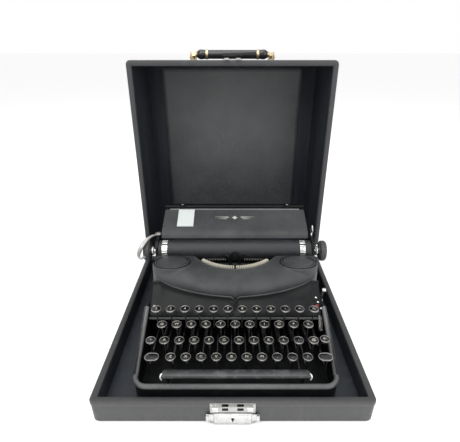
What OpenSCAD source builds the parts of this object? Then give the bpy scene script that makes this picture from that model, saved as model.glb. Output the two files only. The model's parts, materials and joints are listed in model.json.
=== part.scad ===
// Portable typewriter standing in the tray of its open carrying case.
// Origin: bottom centre of the tray. X right, Y back, Z up, millimetres.

/* [Case] */
// Width of the case
case_w = 340; // [320:1:410]
// Depth of the case, front to back
case_d = 345; // [340:1:415]
// Height of the tray
tray_h = 35; // [30:1:45]
// Depth of the lid, rim to top
lid_h = 138; // [134:1:166]
// Thickness of the case walls
wall = 8; // [6:0.5:10]
// Thickness of the tray floor and of the lid's top
panel = 6; // [4:0.5:8]
// Lean of the open lid past upright, in degrees
lid_lean = 2; // [0:0.5:6]
// Radius of the hinge knuckles
knuckle_r = 3.5; // [3:0.1:4.2]
// Radius of the hinge pin
hinge_pin_r = 1.5; // [1.2:0.1:1.8]
// Width of the lock plate
lock_w = 54; // [44:1:64]
// Span of the handle between its pivots
handle_span = 130; // [100:1:150]
// Reach of the handle from its pivots to the top of the grip
handle_rise = 27; // [25:1:34]

/* [Frame] */
// Offset of the machine from the middle of the case
machine_x = 4; // [-4:0.5:6]
// Outer width of the machine frame
frame_w = 252; // [248:1:262]
// Radius of the frame's front corners
corner_r = 18; // [12:1:24]
// Thickness of the frame's sheet
sheet = 3; // [2:0.5:4]
// Radius of the rolled bead along the frame's edge
bead_r = 3.2; // [2.4:0.1:3.6]
// Height of the frame's front edge
front_h = 43; // [36:1:46]
// Height of the frame's sides at the back
side_h = 79; // [74:1:80]
// Height of the rubber feet
foot_h = 7; // [5:0.5:9]
// Radius of the spool towers
tower_r = 29; // [28:0.5:30]
// Distance between the spool centres
spool_span = 188; // [180:1:190]
// Radius of the spool covers
cover_r = 25.5; // [22:0.5:26]
// Backward lean of the spools, in degrees
spool_lean = 10; // [6:1:12]

/* [Keyboard] */
// Distance between keys in a row
key_pitch = 19.05; // [18:0.05:19.2]
// Radius of a key top
key_r = 6.6; // [5.5:0.1:7.2]
// Distance between rows, front to back
row_pitch = 17.6; // [16:0.1:19]
// Rise from one row to the next
row_rise = 11.2; // [9:0.1:12]
// Thickness of a key lever
lever_t = 1.5; // [1:0.1:1.8]
// Radius of the rod that the levers turn on
rod_r = 2.5; // [2:0.1:3]
// Half length of the space bar
space_half = 92; // [80:1:96]

/* [Carriage] */
// Radius of the platen
platen_r = 17.2; // [15:0.1:17.5]
// Length of the platen
platen_len = 244; // [220:1:246]
// Radius of the platen knobs
knob_r = 16.5; // [13:0.5:17]
// Radius of the platen shaft
shaft_r = 4; // [3:0.1:5]
// Width of the paper table
table_w = 238; // [200:1:240]

/* [Fits] */
// Radial clearance of a shaft in its bore
run_fit = 0.06; // [0.03:0.01:0.1]
// Gap between pieces that move past each other
gap = 0.5; // [0.4:0.05:0.8]

/* [Hidden] */
$fn = 48;
eps = 0.01;

// Case
lining_t = 1;
floor_z = panel + lining_t;
hinge_y = case_d / 2 + knuckle_r;
hinge_z = tray_h;
open_turn = 90 + lid_lean;
leaf_t = 1.2;
leaf_w = 46;
leaf_x = [-110, 110];
lining_w = case_w - 2 * wall;
lid_panel_w = 270;
lid_panel_x = -4;
lid_panel_t = 2;
panel_margin = 12;
lid_top_z = tray_h + lid_h;
front_y = -case_d / 2;
plate_t = 1.6;
lock_z = tray_h / 2;
lock_hgt = tray_h - 2;
slider_gap = 0.4;
prong_x = [-9, 9];
prong_w = 7;
prong_t = 1.6;
prong_drop = 7;
handle_z = tray_h + 50;
handle_fold = 78;
pivot_y = 5.6;
pivot_r = 1.5;
post_w = 9;
grip_r = 7.6;
grip_len = 116;
grip_z = handle_rise - grip_r;
ferrule_x = grip_len / 2 + 3;
link_w = 3.6;
link_len = handle_span / 2 - ferrule_x + link_w / 2;

// Frame
frame_z = floor_z + foot_h;
half_w = frame_w / 2;
apron_w = frame_w - sheet - 2 * bead_r - gap;
frame_front = -158;
frame_back = 110;
slope_start = frame_front + corner_r;
slope_end = -50;
pan_t = 1.5;
foot_r = 9;
spool_x = spool_span / 2;
spool_y = 8;
tower_top = 119;
cowl_t = 2.5;
cover_t = 2.6;
cover_gap = 0.6;
opening_r = 73;
platen_y = 61;
platen_z = 109;

// Keyboard
slot_pitch = key_pitch / 4;
first_x = -5.5 * key_pitch - 0.7;
rod_y = 50;
rod_z = 36;
front_row_y = -126.5;
front_row_z = 62;
key_t = 3.4;
row_counts = [10, 11, 11, 12];
row_slots = [5, 3, 2, 0];
centre_row = 2;
centre_index = 5;
lever_h = 6;
comb_y = -30;
comb_bar = 8;
comb_low = frame_z + pan_t + gap;
comb_top = 68;
stem = 26;
stem_step = 2.7;

// Type basket
fan_y = 70;
fan_half = 45;
fan_bars = 43;
pivot_ring = 47;
tip_ring = 70;
pivot_z = 83;
tip_z = 110;
bar_t = 0.8;
slot_w = 1.1;
slug_w = 1.9;

// Carriage
rail_y = 92;
rail_z = 84;
race_z = rail_z + 8 + gap;
truck_z = race_z + 3 + gap;
plate_x = platen_len / 2 + gap;
end_t = 4;
knob_w = 11.5;
knob_x = 136.5;
table_y0 = 68;
table_z0 = 130;
table_y1 = 124;
table_z1 = 156;
stop_rail_y = 128;
stop_rail_z = 159;
stop_rail_r = 2.2;
lever_pin_y = 74;
lever_pin_x = -plate_x - end_t / 2;
lever_pin_z = 131.5;
lever_pin_r = 2;
lever_hub_r = 5;
arm_bend = [-20, -28];
arm_bend_r = 2.6;
arm_t = 3;
finger_turn = 212;
finger_t = 2;
finger_out = 9.4;
finger_drop = 19;
stop_x = 90;
guide_x = -82;
guide_w = 27;
guide_y = [84, 121];
guide_t = 1.2;
release_y = 88;
release_z = 112;
release_hgt = 16;
release_t = 2.4;
drum_x = -86;
drum_y = 106;
drum_z = 60;
wheel_x = 40;

// ---------- shared shapes ----------
module on_machine() {
  translate([machine_x, 0, 0]) children();
}

module round_box(w, d, h, r) {
  for (x = [-1, 1]) for (y = [-1, 1])
    translate([x * (w / 2 - r), y * (d / 2 - r), 0]) cylinder(r = r, h = h);
  translate([-w / 2 + r, -d / 2, 0]) cube([w - 2 * r, d, h]);
  translate([-w / 2, -d / 2 + r, 0]) cube([w, d - 2 * r, h]);
}

// Cylinder along X, centred on [x, y, z]
module rod_x(p, r, len) {
  translate(p) rotate([0, 90, 0]) cylinder(r = r, h = len, center = true);
}

// Round bar between two points
module bar_between(a, b, r) {
  v = b - a;
  len = norm(v);
  translate(a)
    rotate([0, acos(v[2] / len), atan2(v[1], v[0])])
      cylinder(r = r, h = len);
}

// Side profile in the Y-Z plane, given a thickness along X
module profile_x(points, x, t) {
  translate([x - t / 2, 0, 0])
    rotate([90, 0, 90])
      linear_extrude(t) polygon(points);
}

// Lid pieces are drawn closed, then turned open about the hinge
module lid_open() {
  translate([0, hinge_y, hinge_z])
    rotate([-open_turn, 0, 0])
      translate([0, -hinge_y, -hinge_z]) children();
}

// Spool pieces stand on an axis that leans back
module on_spool(side) {
  translate([machine_x + side * spool_x, spool_y, tower_top])
    rotate([-spool_lean, 0, 0]) children();
}

// ---------- carrying case ----------
module case_tray() {
  color([0.13, 0.14, 0.15])
    difference() {
      round_box(case_w, case_d, tray_h, 4);
      translate([-case_w / 2 + wall, -case_d / 2 + wall, panel])
        cube([case_w - 2 * wall, case_d - 2 * wall, tray_h]);
    }
}

module tray_lining() {
  color([0.08, 0.1, 0.14])
    translate([-lining_w / 2, -case_d / 2 + wall, panel])
      cube([lining_w, case_d - 2 * wall, lining_t]);
}

// Knuckles of one hinge: two outer ones on the tray, one inner on the lid
module knuckle(x, len) {
  rod_x([x, hinge_y, hinge_z], knuckle_r - 0.3, len);
}

module tray_hinge_leaves() {
  color([0.55, 0.55, 0.52])
    for (x = leaf_x) {
      difference() {
        union() {
          for (s = [-1, 1]) knuckle(x + s * leaf_w / 3, leaf_w / 3 - gap);
          for (s = [-1, 1])
            translate([x + s * leaf_w / 3 - (leaf_w / 3 - gap) / 2, case_d / 2, hinge_z - 22])
              cube([leaf_w / 3 - gap, leaf_t, 22]);
        }
        rod_x([x, hinge_y, hinge_z], hinge_pin_r, leaf_w + 1);
      }
      rod_x([x, hinge_y, hinge_z], hinge_pin_r, leaf_w);
    }
}

module lid_hinge_leaves() {
  color([0.55, 0.55, 0.52])
    lid_open()
      for (x = leaf_x)
        difference() {
          union() {
            knuckle(x, leaf_w / 3 - gap);
            translate([x - (leaf_w / 3 - gap) / 2, case_d / 2, hinge_z])
              cube([leaf_w / 3 - gap, leaf_t, 22]);
          }
          rod_x([x, hinge_y, hinge_z], hinge_pin_r + run_fit, leaf_w + 1);
        }
}

module lock_body() {
  color([0.8, 0.8, 0.82])
    translate([0, front_y, 0])
      difference() {
        union() {
          translate([-lock_w / 2, -plate_t, lock_z - lock_hgt / 2])
            cube([lock_w, plate_t, lock_hgt]);
          translate([-lock_w / 2 + 4, -4.4, 2.5])
            cube([lock_w - 8, 4.4 - plate_t, 19]);
          translate([-lock_w / 2 + 2, -4.4, 23])
            cube([lock_w - 4, 4.4 - plate_t, 9]);
        }
        for (x = prong_x)
          translate([x - prong_w / 2 - gap, -plate_t - prong_t - gap, 24])
            cube([prong_w + 2 * gap, prong_t + gap + eps, 12]);
        translate([0, eps, 11]) rotate([90, 0, 0]) cylinder(r = 1.5, h = 6);
        translate([-lock_w / 2 + 3, -4.4 + 0.8, 6])
          cube([lock_w - 6, 1.8, 12]);
      }
}

// Sliding bolt of the lock, with a thumb tab at each end
module lock_slider() {
  color([0.85, 0.85, 0.87])
    translate([0, front_y, 0])
      difference() {
        union() {
          translate([-lock_w / 2 - 5, -4.4 + 0.8 + slider_gap, 6 + slider_gap])
            cube([lock_w + 10, 1, 12 - 2 * slider_gap]);
          for (s = [-1, 1])
            translate([s * (lock_w / 2 + 3.2) - 1.8, -5, 8]) cube([3.6, 3, 9]);
        }
        translate([-6, -6, 6]) cube([12, 6, 12]);
        translate([-lock_w / 2 + 6, -6, 9]) cube([4, 6, 2]);
      }
}

module case_lid() {
  color([0.12, 0.13, 0.14])
    lid_open()
      difference() {
        translate([0, 0, tray_h + 0.4]) round_box(case_w, case_d, lid_h - 0.4, 4);
        translate([-case_w / 2 + wall, -case_d / 2 + wall, tray_h - 1])
          cube([case_w - 2 * wall, case_d - 2 * wall, lid_h - panel + 1]);
      }
}

module lid_panel() {
  color([0.2, 0.21, 0.21])
    lid_open()
      translate([lid_panel_x - lid_panel_w / 2, -case_d / 2 + wall + panel_margin,
        lid_top_z - panel - lid_panel_t])
        cube([lid_panel_w, case_d - 2 * wall - 2 * panel_margin, lid_panel_t]);
}

// Catch plate of the lid with two prongs that drop into the lock
module lid_hasp() {
  color([0.8, 0.8, 0.82])
    lid_open() {
      translate([-16, front_y - plate_t, tray_h + 2]) cube([32, plate_t, 20]);
      for (x = prong_x)
        translate([x - prong_w / 2, front_y - plate_t - prong_t, tray_h - prong_drop])
          cube([prong_w, prong_t, prong_drop + 16]);
      for (x = [-11, 11])
        translate([x, front_y - plate_t, tray_h + 18.5])
          rotate([90, 0, 0]) cylinder(r = 2, h = 1);
    }
}

module handle_brackets() {
  color([0.62, 0.55, 0.38])
    lid_open()
      for (s = [-1, 1])
        translate([s * handle_span / 2, front_y, handle_z]) {
          difference() {
            union() {
              translate([-post_w / 2, -1.5, -8]) cube([post_w, 1.5, 16]);
              for (k = [-1, 1])
                translate([k * 3.4 - 1.1, -9, -3.5]) cube([2.2, 7.6, 7]);
            }
            rod_x([0, -pivot_y, 0], pivot_r, post_w + 4);
          }
          rod_x([0, -pivot_y, 0], pivot_r, post_w);
        }
}

// The handle is drawn standing, then folded toward the lid's rim
module handle_folded() {
  lid_open()
    translate([0, front_y - pivot_y, handle_z]) rotate([handle_fold, 0, 0]) children();
}

// Metal links that carry the grip, one at each bracket
module handle_links() {
  color([0.65, 0.58, 0.4])
    handle_folded()
      for (s = [-1, 1])
        translate([s * handle_span / 2, 0, 0])
          difference() {
            union() {
              rod_x([0, 0, 0], 3, link_w);
              translate([-link_w / 2, -grip_z + 3, -2]) cube([link_w, grip_z - 3, 4]);
              translate([s > 0 ? link_w / 2 - link_len : -link_w / 2, -grip_z + 1, -2.5])
                cube([link_len, 4, 5]);
            }
            rod_x([0, 0, 0], pivot_r + run_fit, 10);
          }
}

module handle_grip() {
  color([0.05, 0.05, 0.05])
    handle_folded()
      translate([0, 3 - grip_z, 0]) {
        rod_x([0, 0, 0], grip_r, grip_len - 12);
        for (s = [-1, 1]) {
          translate([s * (grip_len / 2 - 6), 0, 0]) sphere(r = grip_r);
          rod_x([s * (ferrule_x - 4), 0, 0], 4.2, 8);
        }
      }
}

// ---------- frame and covers ----------
module rubber_feet() {
  color([0.06, 0.06, 0.06])
    on_machine()
      for (x = [-1, 1]) for (y = [frame_front + 24, frame_back - 20])
        translate([x * (half_w - 22), y, floor_z]) cylinder(r = foot_r, h = foot_h);
}

function side_points() = [[slope_start, frame_z], [frame_back, frame_z],
  [frame_back, side_h], [slope_end, side_h], [slope_start, front_h]];

module frame_corner(s) {
  translate([s * (half_w - corner_r), frame_front + corner_r, 0])
    rotate([0, 0, s > 0 ? 270 : 180]) {
      translate([0, 0, frame_z])
        rotate_extrude(angle = 90)
          translate([corner_r - sheet, 0]) square([sheet, front_h - frame_z]);
      translate([0, 0, front_h])
        rotate_extrude(angle = 90)
          translate([corner_r - sheet / 2, 0]) circle(r = bead_r);
    }
}

module base_frame() {
  color([0.3, 0.31, 0.31])
    on_machine() {
      for (s = [-1, 1]) {
        profile_x(side_points(), s * (half_w - sheet / 2), sheet);
        frame_corner(s);
        bar_between([s * (half_w - sheet / 2), slope_start, front_h],
          [s * (half_w - sheet / 2), slope_end, side_h], bead_r);
        for (p = [[slope_start, front_h], [slope_end, side_h]])
          translate([s * (half_w - sheet / 2), p[0], p[1]]) sphere(r = bead_r);
      }
      translate([-half_w + corner_r, frame_front, frame_z])
        cube([frame_w - 2 * corner_r, sheet, front_h - frame_z]);
      rod_x([0, frame_front + sheet / 2, front_h], bead_r, frame_w - 2 * corner_r);
      translate([-half_w + sheet, frame_back - sheet, frame_z])
        cube([frame_w - 2 * sheet, sheet, 22]);
    }
}

module bottom_pan() {
  color([0.12, 0.12, 0.13])
    on_machine()
      translate([-half_w + sheet + gap, frame_front + corner_r, frame_z])
        cube([frame_w - 2 * sheet - 2 * gap, frame_back - sheet - gap - frame_front - corner_r,
          pan_t]);
}

// Sheet between the cowl and the top row of keys
module front_apron() {
  color([0.27, 0.28, 0.29])
    on_machine()
      profile_x([[-60, 69], [-58, 68], [-39, 91], [-39, 94]], 0, apron_w);
}

// Outer form of the cowl, shrunk by t for its inside
module cowl_form(t) {
  hull() {
    for (s = [-1, 1])
      translate([s * spool_x, spool_y, tower_top]) rotate([-spool_lean, 0, 0])
        translate([0, 0, -34]) cylinder(r = tower_r - t, h = 34 - t);
    rod_x([0, -24 + t / 2, 92], 13 - t, 2 * spool_x + 14 - 2 * t);
  }
}

module spool_cowl() {
  color([0.28, 0.29, 0.3])
    difference() {
      on_machine() {
        cowl_form(0);
      }
      on_machine() difference() {
        cowl_form(cowl_t);
        for (s = [-1, 1])
          translate([s * spool_x, spool_y, tower_top]) rotate([-spool_lean, 0, 0])
            translate([0, 0, -36])
              difference() {
                cylinder(r = tower_r, h = 40);
                translate([0, 0, -1]) cylinder(r = tower_r - cowl_t, h = 42);
              }
      }
      on_machine() translate([-half_w, -60, 60]) cube([frame_w, 120, 22]);
      on_machine() translate([0, fan_y, 60]) cylinder(r = opening_r, h = 80);
      for (s = [-1, 1])
        on_spool(s) translate([0, 0, -cowl_t - 2]) cylinder(r = cover_r + cover_gap, h = 20);
      on_machine() translate([-half_w, 38.4, 60]) cube([frame_w, 40, 80]);
    }
}

module spool_cover(side) {
  color([0.25, 0.26, 0.27])
    on_spool(side) {
      cylinder(r = cover_r, h = cover_t - 1);
      translate([0, 0, -cowl_t]) cylinder(r = cover_r - 1, h = cowl_t + cover_t);
    }
}

module spool_cover_left() {
  spool_cover(-1);
}

module spool_cover_right() {
  spool_cover(1);
}

module ribbon_spool(side) {
  color([0.1, 0.1, 0.11])
    on_spool(side)
      for (z = [-20, -8])
        translate([0, 0, z]) cylinder(r = cover_r - 5, h = 1.2);
  color([0.1, 0.1, 0.11])
    on_spool(side)
      translate([0, 0, -20])
        difference() {
          cylinder(r = 14, h = 13);
          translate([0, 0, -1]) cylinder(r = 3, h = 20);
        }
}

module ribbon_spool_left() {
  ribbon_spool(-1);
}

module ribbon_spool_right() {
  ribbon_spool(1);
}

// ---------- keyboard ----------
function row_y(r) = front_row_y + r * row_pitch;
function row_z(r) = front_row_z + r * row_rise;
function row_base(r) = row_z(r) - stem - r * stem_step;
function key_x(r, i) = first_x + row_slots[r] * slot_pitch + i * key_pitch;
function is_centre(r, i) = r == centre_row && i == centre_index;

module key_lever(x, y, z, base, t = lever_t) {
  difference() {
    profile_x([[rod_y + 6, rod_z - 5], [rod_y + 6, rod_z + 5], [rod_y - 20, rod_z + 5],
      [y + 8, base + lever_h], [y + 1.5, base + lever_h + 4], [y + 1.5, z - key_t],
      [y - 1.5, z - key_t], [y - 1.5, base + 2], [y + 3, base], [rod_y - 20, rod_z - 3]], x, t);
    rod_x([x, rod_y, rod_z], rod_r + run_fit, 6);
  }
}

module key_top(x, y, z, r = key_r) {
  translate([x, y, z - key_t]) {
    cylinder(r = r - 1.6, h = 1.2);
    translate([0, 0, 1.2]) cylinder(r = r, h = key_t - 1.2);
  }
}

module row_of_levers(r) {
  color([0.5, 0.5, 0.5])
    on_machine()
      for (i = [0 : row_counts[r] - 1])
        if (!is_centre(r, i)) key_lever(key_x(r, i), row_y(r), row_z(r), row_base(r));
}

module row_of_keys(r) {
  color([0.75, 0.75, 0.72])
    on_machine()
      for (i = [0 : row_counts[r] - 1])
        if (!is_centre(r, i)) key_top(key_x(r, i), row_y(r), row_z(r));
}

module lower_levers() {
  row_of_levers(0);
}

module lower_keys() {
  row_of_keys(0);
}

module home_levers() {
  row_of_levers(1);
}

module home_keys() {
  row_of_keys(1);
}

module upper_levers() {
  row_of_levers(2);
}

module upper_keys() {
  row_of_keys(2);
}

module number_levers() {
  row_of_levers(3);
}

module number_keys() {
  row_of_keys(3);
}

module centre_lever() {
  color([0.5, 0.5, 0.5])
    on_machine()
      key_lever(key_x(centre_row, centre_index), row_y(centre_row), row_z(centre_row),
        row_base(centre_row));
}

module centre_key() {
  color([0.75, 0.75, 0.72])
    on_machine()
      key_top(key_x(centre_row, centre_index), row_y(centre_row), row_z(centre_row));
}

module key_guide_comb() {
  color([0.35, 0.36, 0.36])
    on_machine()
      union() {
        translate([-half_w + sheet, comb_y, comb_top - comb_bar]) cube([frame_w - 2 * sheet, 2, comb_bar]);
        translate([-half_w + sheet, comb_y, comb_low]) cube([frame_w - 2 * sheet, 2, comb_bar]);
        for (s = [-1, 1])
          translate([s * (half_w - sheet - 2) - 1.5, comb_y, comb_low])
            cube([3, 2, comb_top - comb_low]);
      }
}

module lever_rod() {
  color([0.6, 0.6, 0.6])
    on_machine() rod_x([0, rod_y, rod_z], rod_r, frame_w - 2 * sheet);
}

space_y = -143;
space_z = 52;
space_arm_slots = [4.5, 39.5];
function slot_x(k) = first_x + k * slot_pitch;

module space_bar() {
  color([0.1, 0.1, 0.1])
    on_machine()
      difference() {
        union() {
          translate([-space_half + 4, space_y - 6, space_z - 5])
            cube([2 * space_half - 8, 12, 5]);
          for (s = [-1, 1])
            translate([s * (space_half - 4), space_y, space_z - 5]) cylinder(r = 6, h = 5);
        }
        for (s = [-1, 1])
          translate([s * (space_half - 4), space_y, space_z - 6]) cylinder(r = 2, h = 3);
      }
}

module space_bar_arms() {
  color([0.5, 0.5, 0.5])
    on_machine()
      for (k = space_arm_slots)
        difference() {
          profile_x([[rod_y + 6, rod_z - 5], [rod_y + 6, rod_z + 5], [rod_y - 10, rod_z + 4],
            [space_y + 12, 34], [space_y + 3, 36], [space_y + 3, space_z - 5],
            [space_y - 3, space_z - 5], [space_y - 3, 31], [rod_y - 10, rod_z - 3]],
            slot_x(k), 1.1);
          rod_x([slot_x(k), rod_y, rod_z], rod_r + run_fit, 6);
        }
}

shift_x = [first_x - 5.4, 114];
shift_top_x = [first_x + slot_pitch * 5 - key_pitch - 4.5, 112];
module shift_levers() {
  color([0.5, 0.5, 0.5])
    on_machine() {
      for (x = shift_x) {
        difference() {
          profile_x([[rod_y + 6, rod_z - 5], [rod_y + 6, rod_z + 5], [rod_y - 20, rod_z + 5],
            [row_y(0) + 8, 42], [row_y(0) + 2, 46], [row_y(0) + 2, front_row_z - key_t],
            [row_y(0) - 2, front_row_z - key_t], [row_y(0) - 2, 38], [rod_y - 20, rod_z - 3]],
            x, lever_t);
          rod_x([x, rod_y, rod_z], rod_r + run_fit, 6);
        }
      }
      for (k = [0, 1])
        translate([min(shift_x[k], shift_top_x[k]), row_y(0) - 2, front_row_z - key_t - 2])
          cube([abs(shift_x[k] - shift_top_x[k]) + 1, 4, 2]);
      translate([shift_x[0], rod_y + 7, rod_z - 4])
        cube([shift_x[1] - shift_x[0], 2, 8]);
      for (x = shift_x)
        translate([x - lever_t / 2, rod_y + 5.9, rod_z - 4]) cube([lever_t, 2, 8]);
    }
}

module shift_keys() {
  color([0.72, 0.72, 0.66])
    on_machine()
      for (x = shift_top_x)
        translate([x, row_y(0), front_row_z - key_t]) {
          for (s = [-1, 1]) translate([s * 2.5, 0, 0]) cylinder(r = key_r, h = key_t);
          translate([-2.5, -key_r, 0]) cube([5, 2 * key_r, key_t]);
        }
}

// Lock key beside the home row: it pivots on the left shift lever
lock_key_x = first_x - 3;
module shift_lock_key() {
  color([0.72, 0.72, 0.66])
    on_machine() {
      translate([lock_key_x, row_y(1), row_z(1) - key_t]) cylinder(r = key_r - 0.6, h = key_t);
      translate([first_x - 2.6 - lever_t / 2, row_y(1) - 1.5, 46])
        cube([lever_t, 3, row_z(1) - key_t - 46]);
      difference() {
        translate([first_x - 2.6 - lever_t / 2, row_y(1) - 1.5, 44]) cube([lever_t, 12, 8]);
        rod_x([first_x - 2.6, row_y(1) + 7, 48], 1.5 + run_fit, 6);
      }
    }
}

module backspace_key() {
  color([0.72, 0.72, 0.66])
    on_machine()
      difference() {
        union() {
          translate([key_x(3, 11) + 10, row_y(1) + 2, row_z(1) - key_t])
            cylinder(r = key_r - 0.4, h = key_t);
          profile_x([[rod_y + 6, rod_z - 5], [rod_y + 6, rod_z + 5], [rod_y - 20, rod_z + 5],
            [row_y(1) + 10, 54], [row_y(1) + 4, 58], [row_y(1) + 4, row_z(1) - key_t],
            [row_y(1), row_z(1) - key_t], [row_y(1), 50], [rod_y - 20, rod_z - 3]],
            key_x(3, 11) + 4.7, 1.2);
          translate([key_x(3, 11) + 4.1, row_y(1), row_z(1) - key_t - 2]) cube([7, 4, 2.2]);
        }
        rod_x([key_x(3, 11) + 4.7, rod_y, rod_z], rod_r + run_fit, 6);
      }
}

// ---------- type basket ----------
function bar_angle(k) = -fan_half + 2 * fan_half * k / (fan_bars - 1);

module at_bar(angle) {
  translate([0, fan_y, 0]) rotate([0, 0, angle]) translate([0, -fan_y, 0]) children();
}

module typebar_form() {
  profile_x([[fan_y - pivot_ring + 2, pivot_z - 2], [fan_y - pivot_ring + 2, pivot_z + 2],
    [fan_y - tip_ring + 5, tip_z + 1], [fan_y - tip_ring + 2, tip_z - 1.5],
    [fan_y - pivot_ring - 2, pivot_z - 2]], 0, bar_t);
  translate([-slug_w / 2, fan_y - tip_ring, tip_z - 1])
    cube([slug_w, 5, 4]);
}

module type_segment() {
  color([0.45, 0.45, 0.45])
    on_machine()
      difference() {
        translate([0, fan_y, 74])
          rotate([0, 0, 270 - fan_half - 5])
            rotate_extrude(angle = 2 * fan_half + 10)
              translate([pivot_ring - 4, 0]) square([9, 12]);
        for (k = [0 : fan_bars - 1])
          at_bar(bar_angle(k))
            translate([-slot_w / 2, fan_y - pivot_ring - 8, pivot_z - 4.5])
              cube([slot_w, 16, 10]);
      }
}

module typebars() {
  color([0.7, 0.7, 0.68])
    on_machine()
      for (k = [0 : fan_bars - 1])
        if (k != (fan_bars - 1) / 2) at_bar(bar_angle(k)) typebar_form();
}

module centre_typebar() {
  color([0.7, 0.7, 0.68]) on_machine() typebar_form();
}

// Guide that centres the type at the printing point
module type_guide() {
  color([0.3, 0.3, 0.3])
    on_machine()
      union() {
        for (s = [-1, 1])
          translate([s * 4.2 - 1, 39.5, 92]) cube([2, 2, 22]);
        translate([-12, 39.5, 90]) cube([24, 2, 4]);
      }
}

module ribbon_vibrator() {
  color([0.35, 0.35, 0.35])
    on_machine() {
      for (s = [-1, 1])
        translate([s * 9 - 1.5, 36.6, 82]) cube([3, 1.2, 33]);
      translate([-10.5, 36.6, 79]) cube([21, 1.2, 3]);
    }
}

module ribbon_selector() {
  color([0.75, 0.75, 0.75])
    on_machine()
      translate([half_w + gap, -24, 72]) {
        rod_x([1, 0, 0], 3.5, 2);
        translate([0, -2, 0]) cube([2, 4, 18]);
        rod_x([2.5, 0, 18], 3, 5);
      }
}

// ---------- carriage ----------
module carriage_rail() {
  color([0.4, 0.4, 0.4])
    on_machine() {
      translate([-half_w + sheet, rail_y - 5, rail_z - 4]) cube([frame_w - 2 * sheet, 10, 12]);
      for (s = [-1, 1])
        translate([s * (half_w - sheet - 6) - 6, rail_y - 5, frame_z + pan_t + gap])
          cube([12, 10, rail_z - 4 - frame_z - pan_t - gap]);
    }
}

module carriage_race() {
  color([0.55, 0.55, 0.55])
    on_machine()
      translate([-112, rail_y - 3, race_z]) cube([224, 6, 3]);
}

module carriage_truck() {
  color([0.25, 0.26, 0.27])
    on_machine()
      difference() {
        union() {
          translate([-plate_x, rail_y - 9, truck_z])
            cube([2 * plate_x, 18, 4]);
          for (s = [-1, 1])
            profile_x([[44, 90], [46, 122], [54, 129], [68, 130.5], [80, 128], [102, 110],
              [102, truck_z], [rail_y - 7.5, truck_z], [rail_y - 10, 84], [48, 82]],
              s * (plate_x + end_t / 2), end_t);
          translate([lever_pin_x, lever_pin_y, lever_pin_z - 4])
            cylinder(r = lever_pin_r, h = arm_t + 4.6);
          translate([plate_x + 1, release_y, release_z]) rotate([0, 90, 0])
            cylinder(r = lever_pin_r, h = end_t + release_t);
        }
        rod_x([0, platen_y, platen_z], shaft_r + run_fit, 2 * plate_x + 20);
      }
}

module platen() {
  color([0.09, 0.09, 0.1])
    on_machine() rod_x([0, platen_y, platen_z], platen_r, platen_len);
}

module platen_knobs() {
  color([0.08, 0.08, 0.08])
    on_machine()
      for (s = [-1, 1]) {
        rod_x([s * (platen_len / 2 + (knob_x - platen_len / 2) / 2), platen_y, platen_z],
          shaft_r, knob_x - platen_len / 2);
        rod_x([s * (knob_x + knob_w / 2), platen_y, platen_z], knob_r, knob_w);
      }
}

module feed_rollers() {
  color([0.12, 0.12, 0.12])
    on_machine()
      for (p = [[52, 87.6], [70, 86.4]])
        rod_x([0, p[0], p[1]], 4.5, 2 * plate_x);
}

table_slope = (table_z1 - table_z0 - 8) / (table_y1 - table_y0 - 8);
function table_top(y) = table_z0 + 8 + table_slope * (y - table_y0 - 8);
module paper_table() {
  color([0.27, 0.28, 0.29])
    on_machine() {
      profile_x([[table_y0, table_z0], [table_y0 + 8, table_z0 + 8], [table_y1, table_z1],
        [table_y1, table_z1 - 1.6], [table_y0 + 8.6, table_z0 + 6.4],
        [table_y0 + 1.2, table_z0 - 1]], 0, table_w);
      for (s = [-1, 1])
        profile_x([[76, 128.6], [84, 136], [124, 153], [124, 149], [90, 122], [86, 123.5]],
          s * (plate_x - 6), 3);
      for (s = [-1, 1])
        translate([s * (plate_x - 3.75) - 3.75, 80, 118]) cube([7.5, 8, 9]);
    }
}

// Sliding guide for the paper's left edge
module paper_guide() {
  color([0.62, 0.66, 0.62])
    on_machine()
      profile_x([[guide_y[0], table_top(guide_y[0]) + gap],
        [guide_y[1], table_top(guide_y[1]) + gap],
        [guide_y[1], table_top(guide_y[1]) + gap + guide_t],
        [guide_y[0], table_top(guide_y[0]) + gap + guide_t]], guide_x, guide_w);
}

module margin_rail() {
  color([0.3, 0.3, 0.3])
    on_machine() {
      rod_x([0, stop_rail_y, stop_rail_z], stop_rail_r, table_w);
      for (s = [-1, 1])
        translate([s * (table_w / 2 - 1.5) - 1.5, table_y1 - 0.2, table_z1 - 4])
          cube([3, 3, 5.2]);
    }
}

module margin_stop(x) {
  color([0.2, 0.2, 0.2])
    on_machine()
      difference() {
        translate([x - 5, stop_rail_y - 3, stop_rail_z - 4]) cube([10, 7.5, 8]);
        rod_x([x, stop_rail_y, stop_rail_z], stop_rail_r + run_fit, 20);
      }
}

module margin_stop_left() {
  margin_stop(-stop_x);
}

module margin_stop_right() {
  margin_stop(stop_x);
}

// Line-space and return lever on the left end plate
module return_lever() {
  color([0.8, 0.8, 0.82])
    on_machine()
      translate([lever_pin_x, lever_pin_y, lever_pin_z]) {
        linear_extrude(arm_t)
          difference() {
            hull() {
              circle(r = lever_hub_r);
              translate(arm_bend) circle(r = arm_bend_r);
            }
            circle(r = lever_pin_r + run_fit);
          }
        translate([arm_bend[0], arm_bend[1], 0])
          rotate([90, 0, finger_turn])
            translate([0, 0, -finger_t / 2])
              linear_extrude(finger_t)
                hull() {
                  translate([0, 1.4]) circle(r = 1);
                  translate([finger_out, -finger_drop]) circle(r = 3);
                }
      }
}

module paper_release_lever() {
  color([0.8, 0.8, 0.82])
    on_machine()
      translate([plate_x + end_t + gap, release_y, release_z]) {
        difference() {
          rod_x([release_t / 2, 0, 0], lever_hub_r, release_t);
          rod_x([release_t / 2, 0, 0], lever_pin_r + run_fit, 6);
        }
        translate([0, -2.5, 4]) cube([release_t, 5, release_hgt - 4]);
        rod_x([release_t / 2, 0, release_hgt], 5.4, release_t);
      }
}

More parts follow.
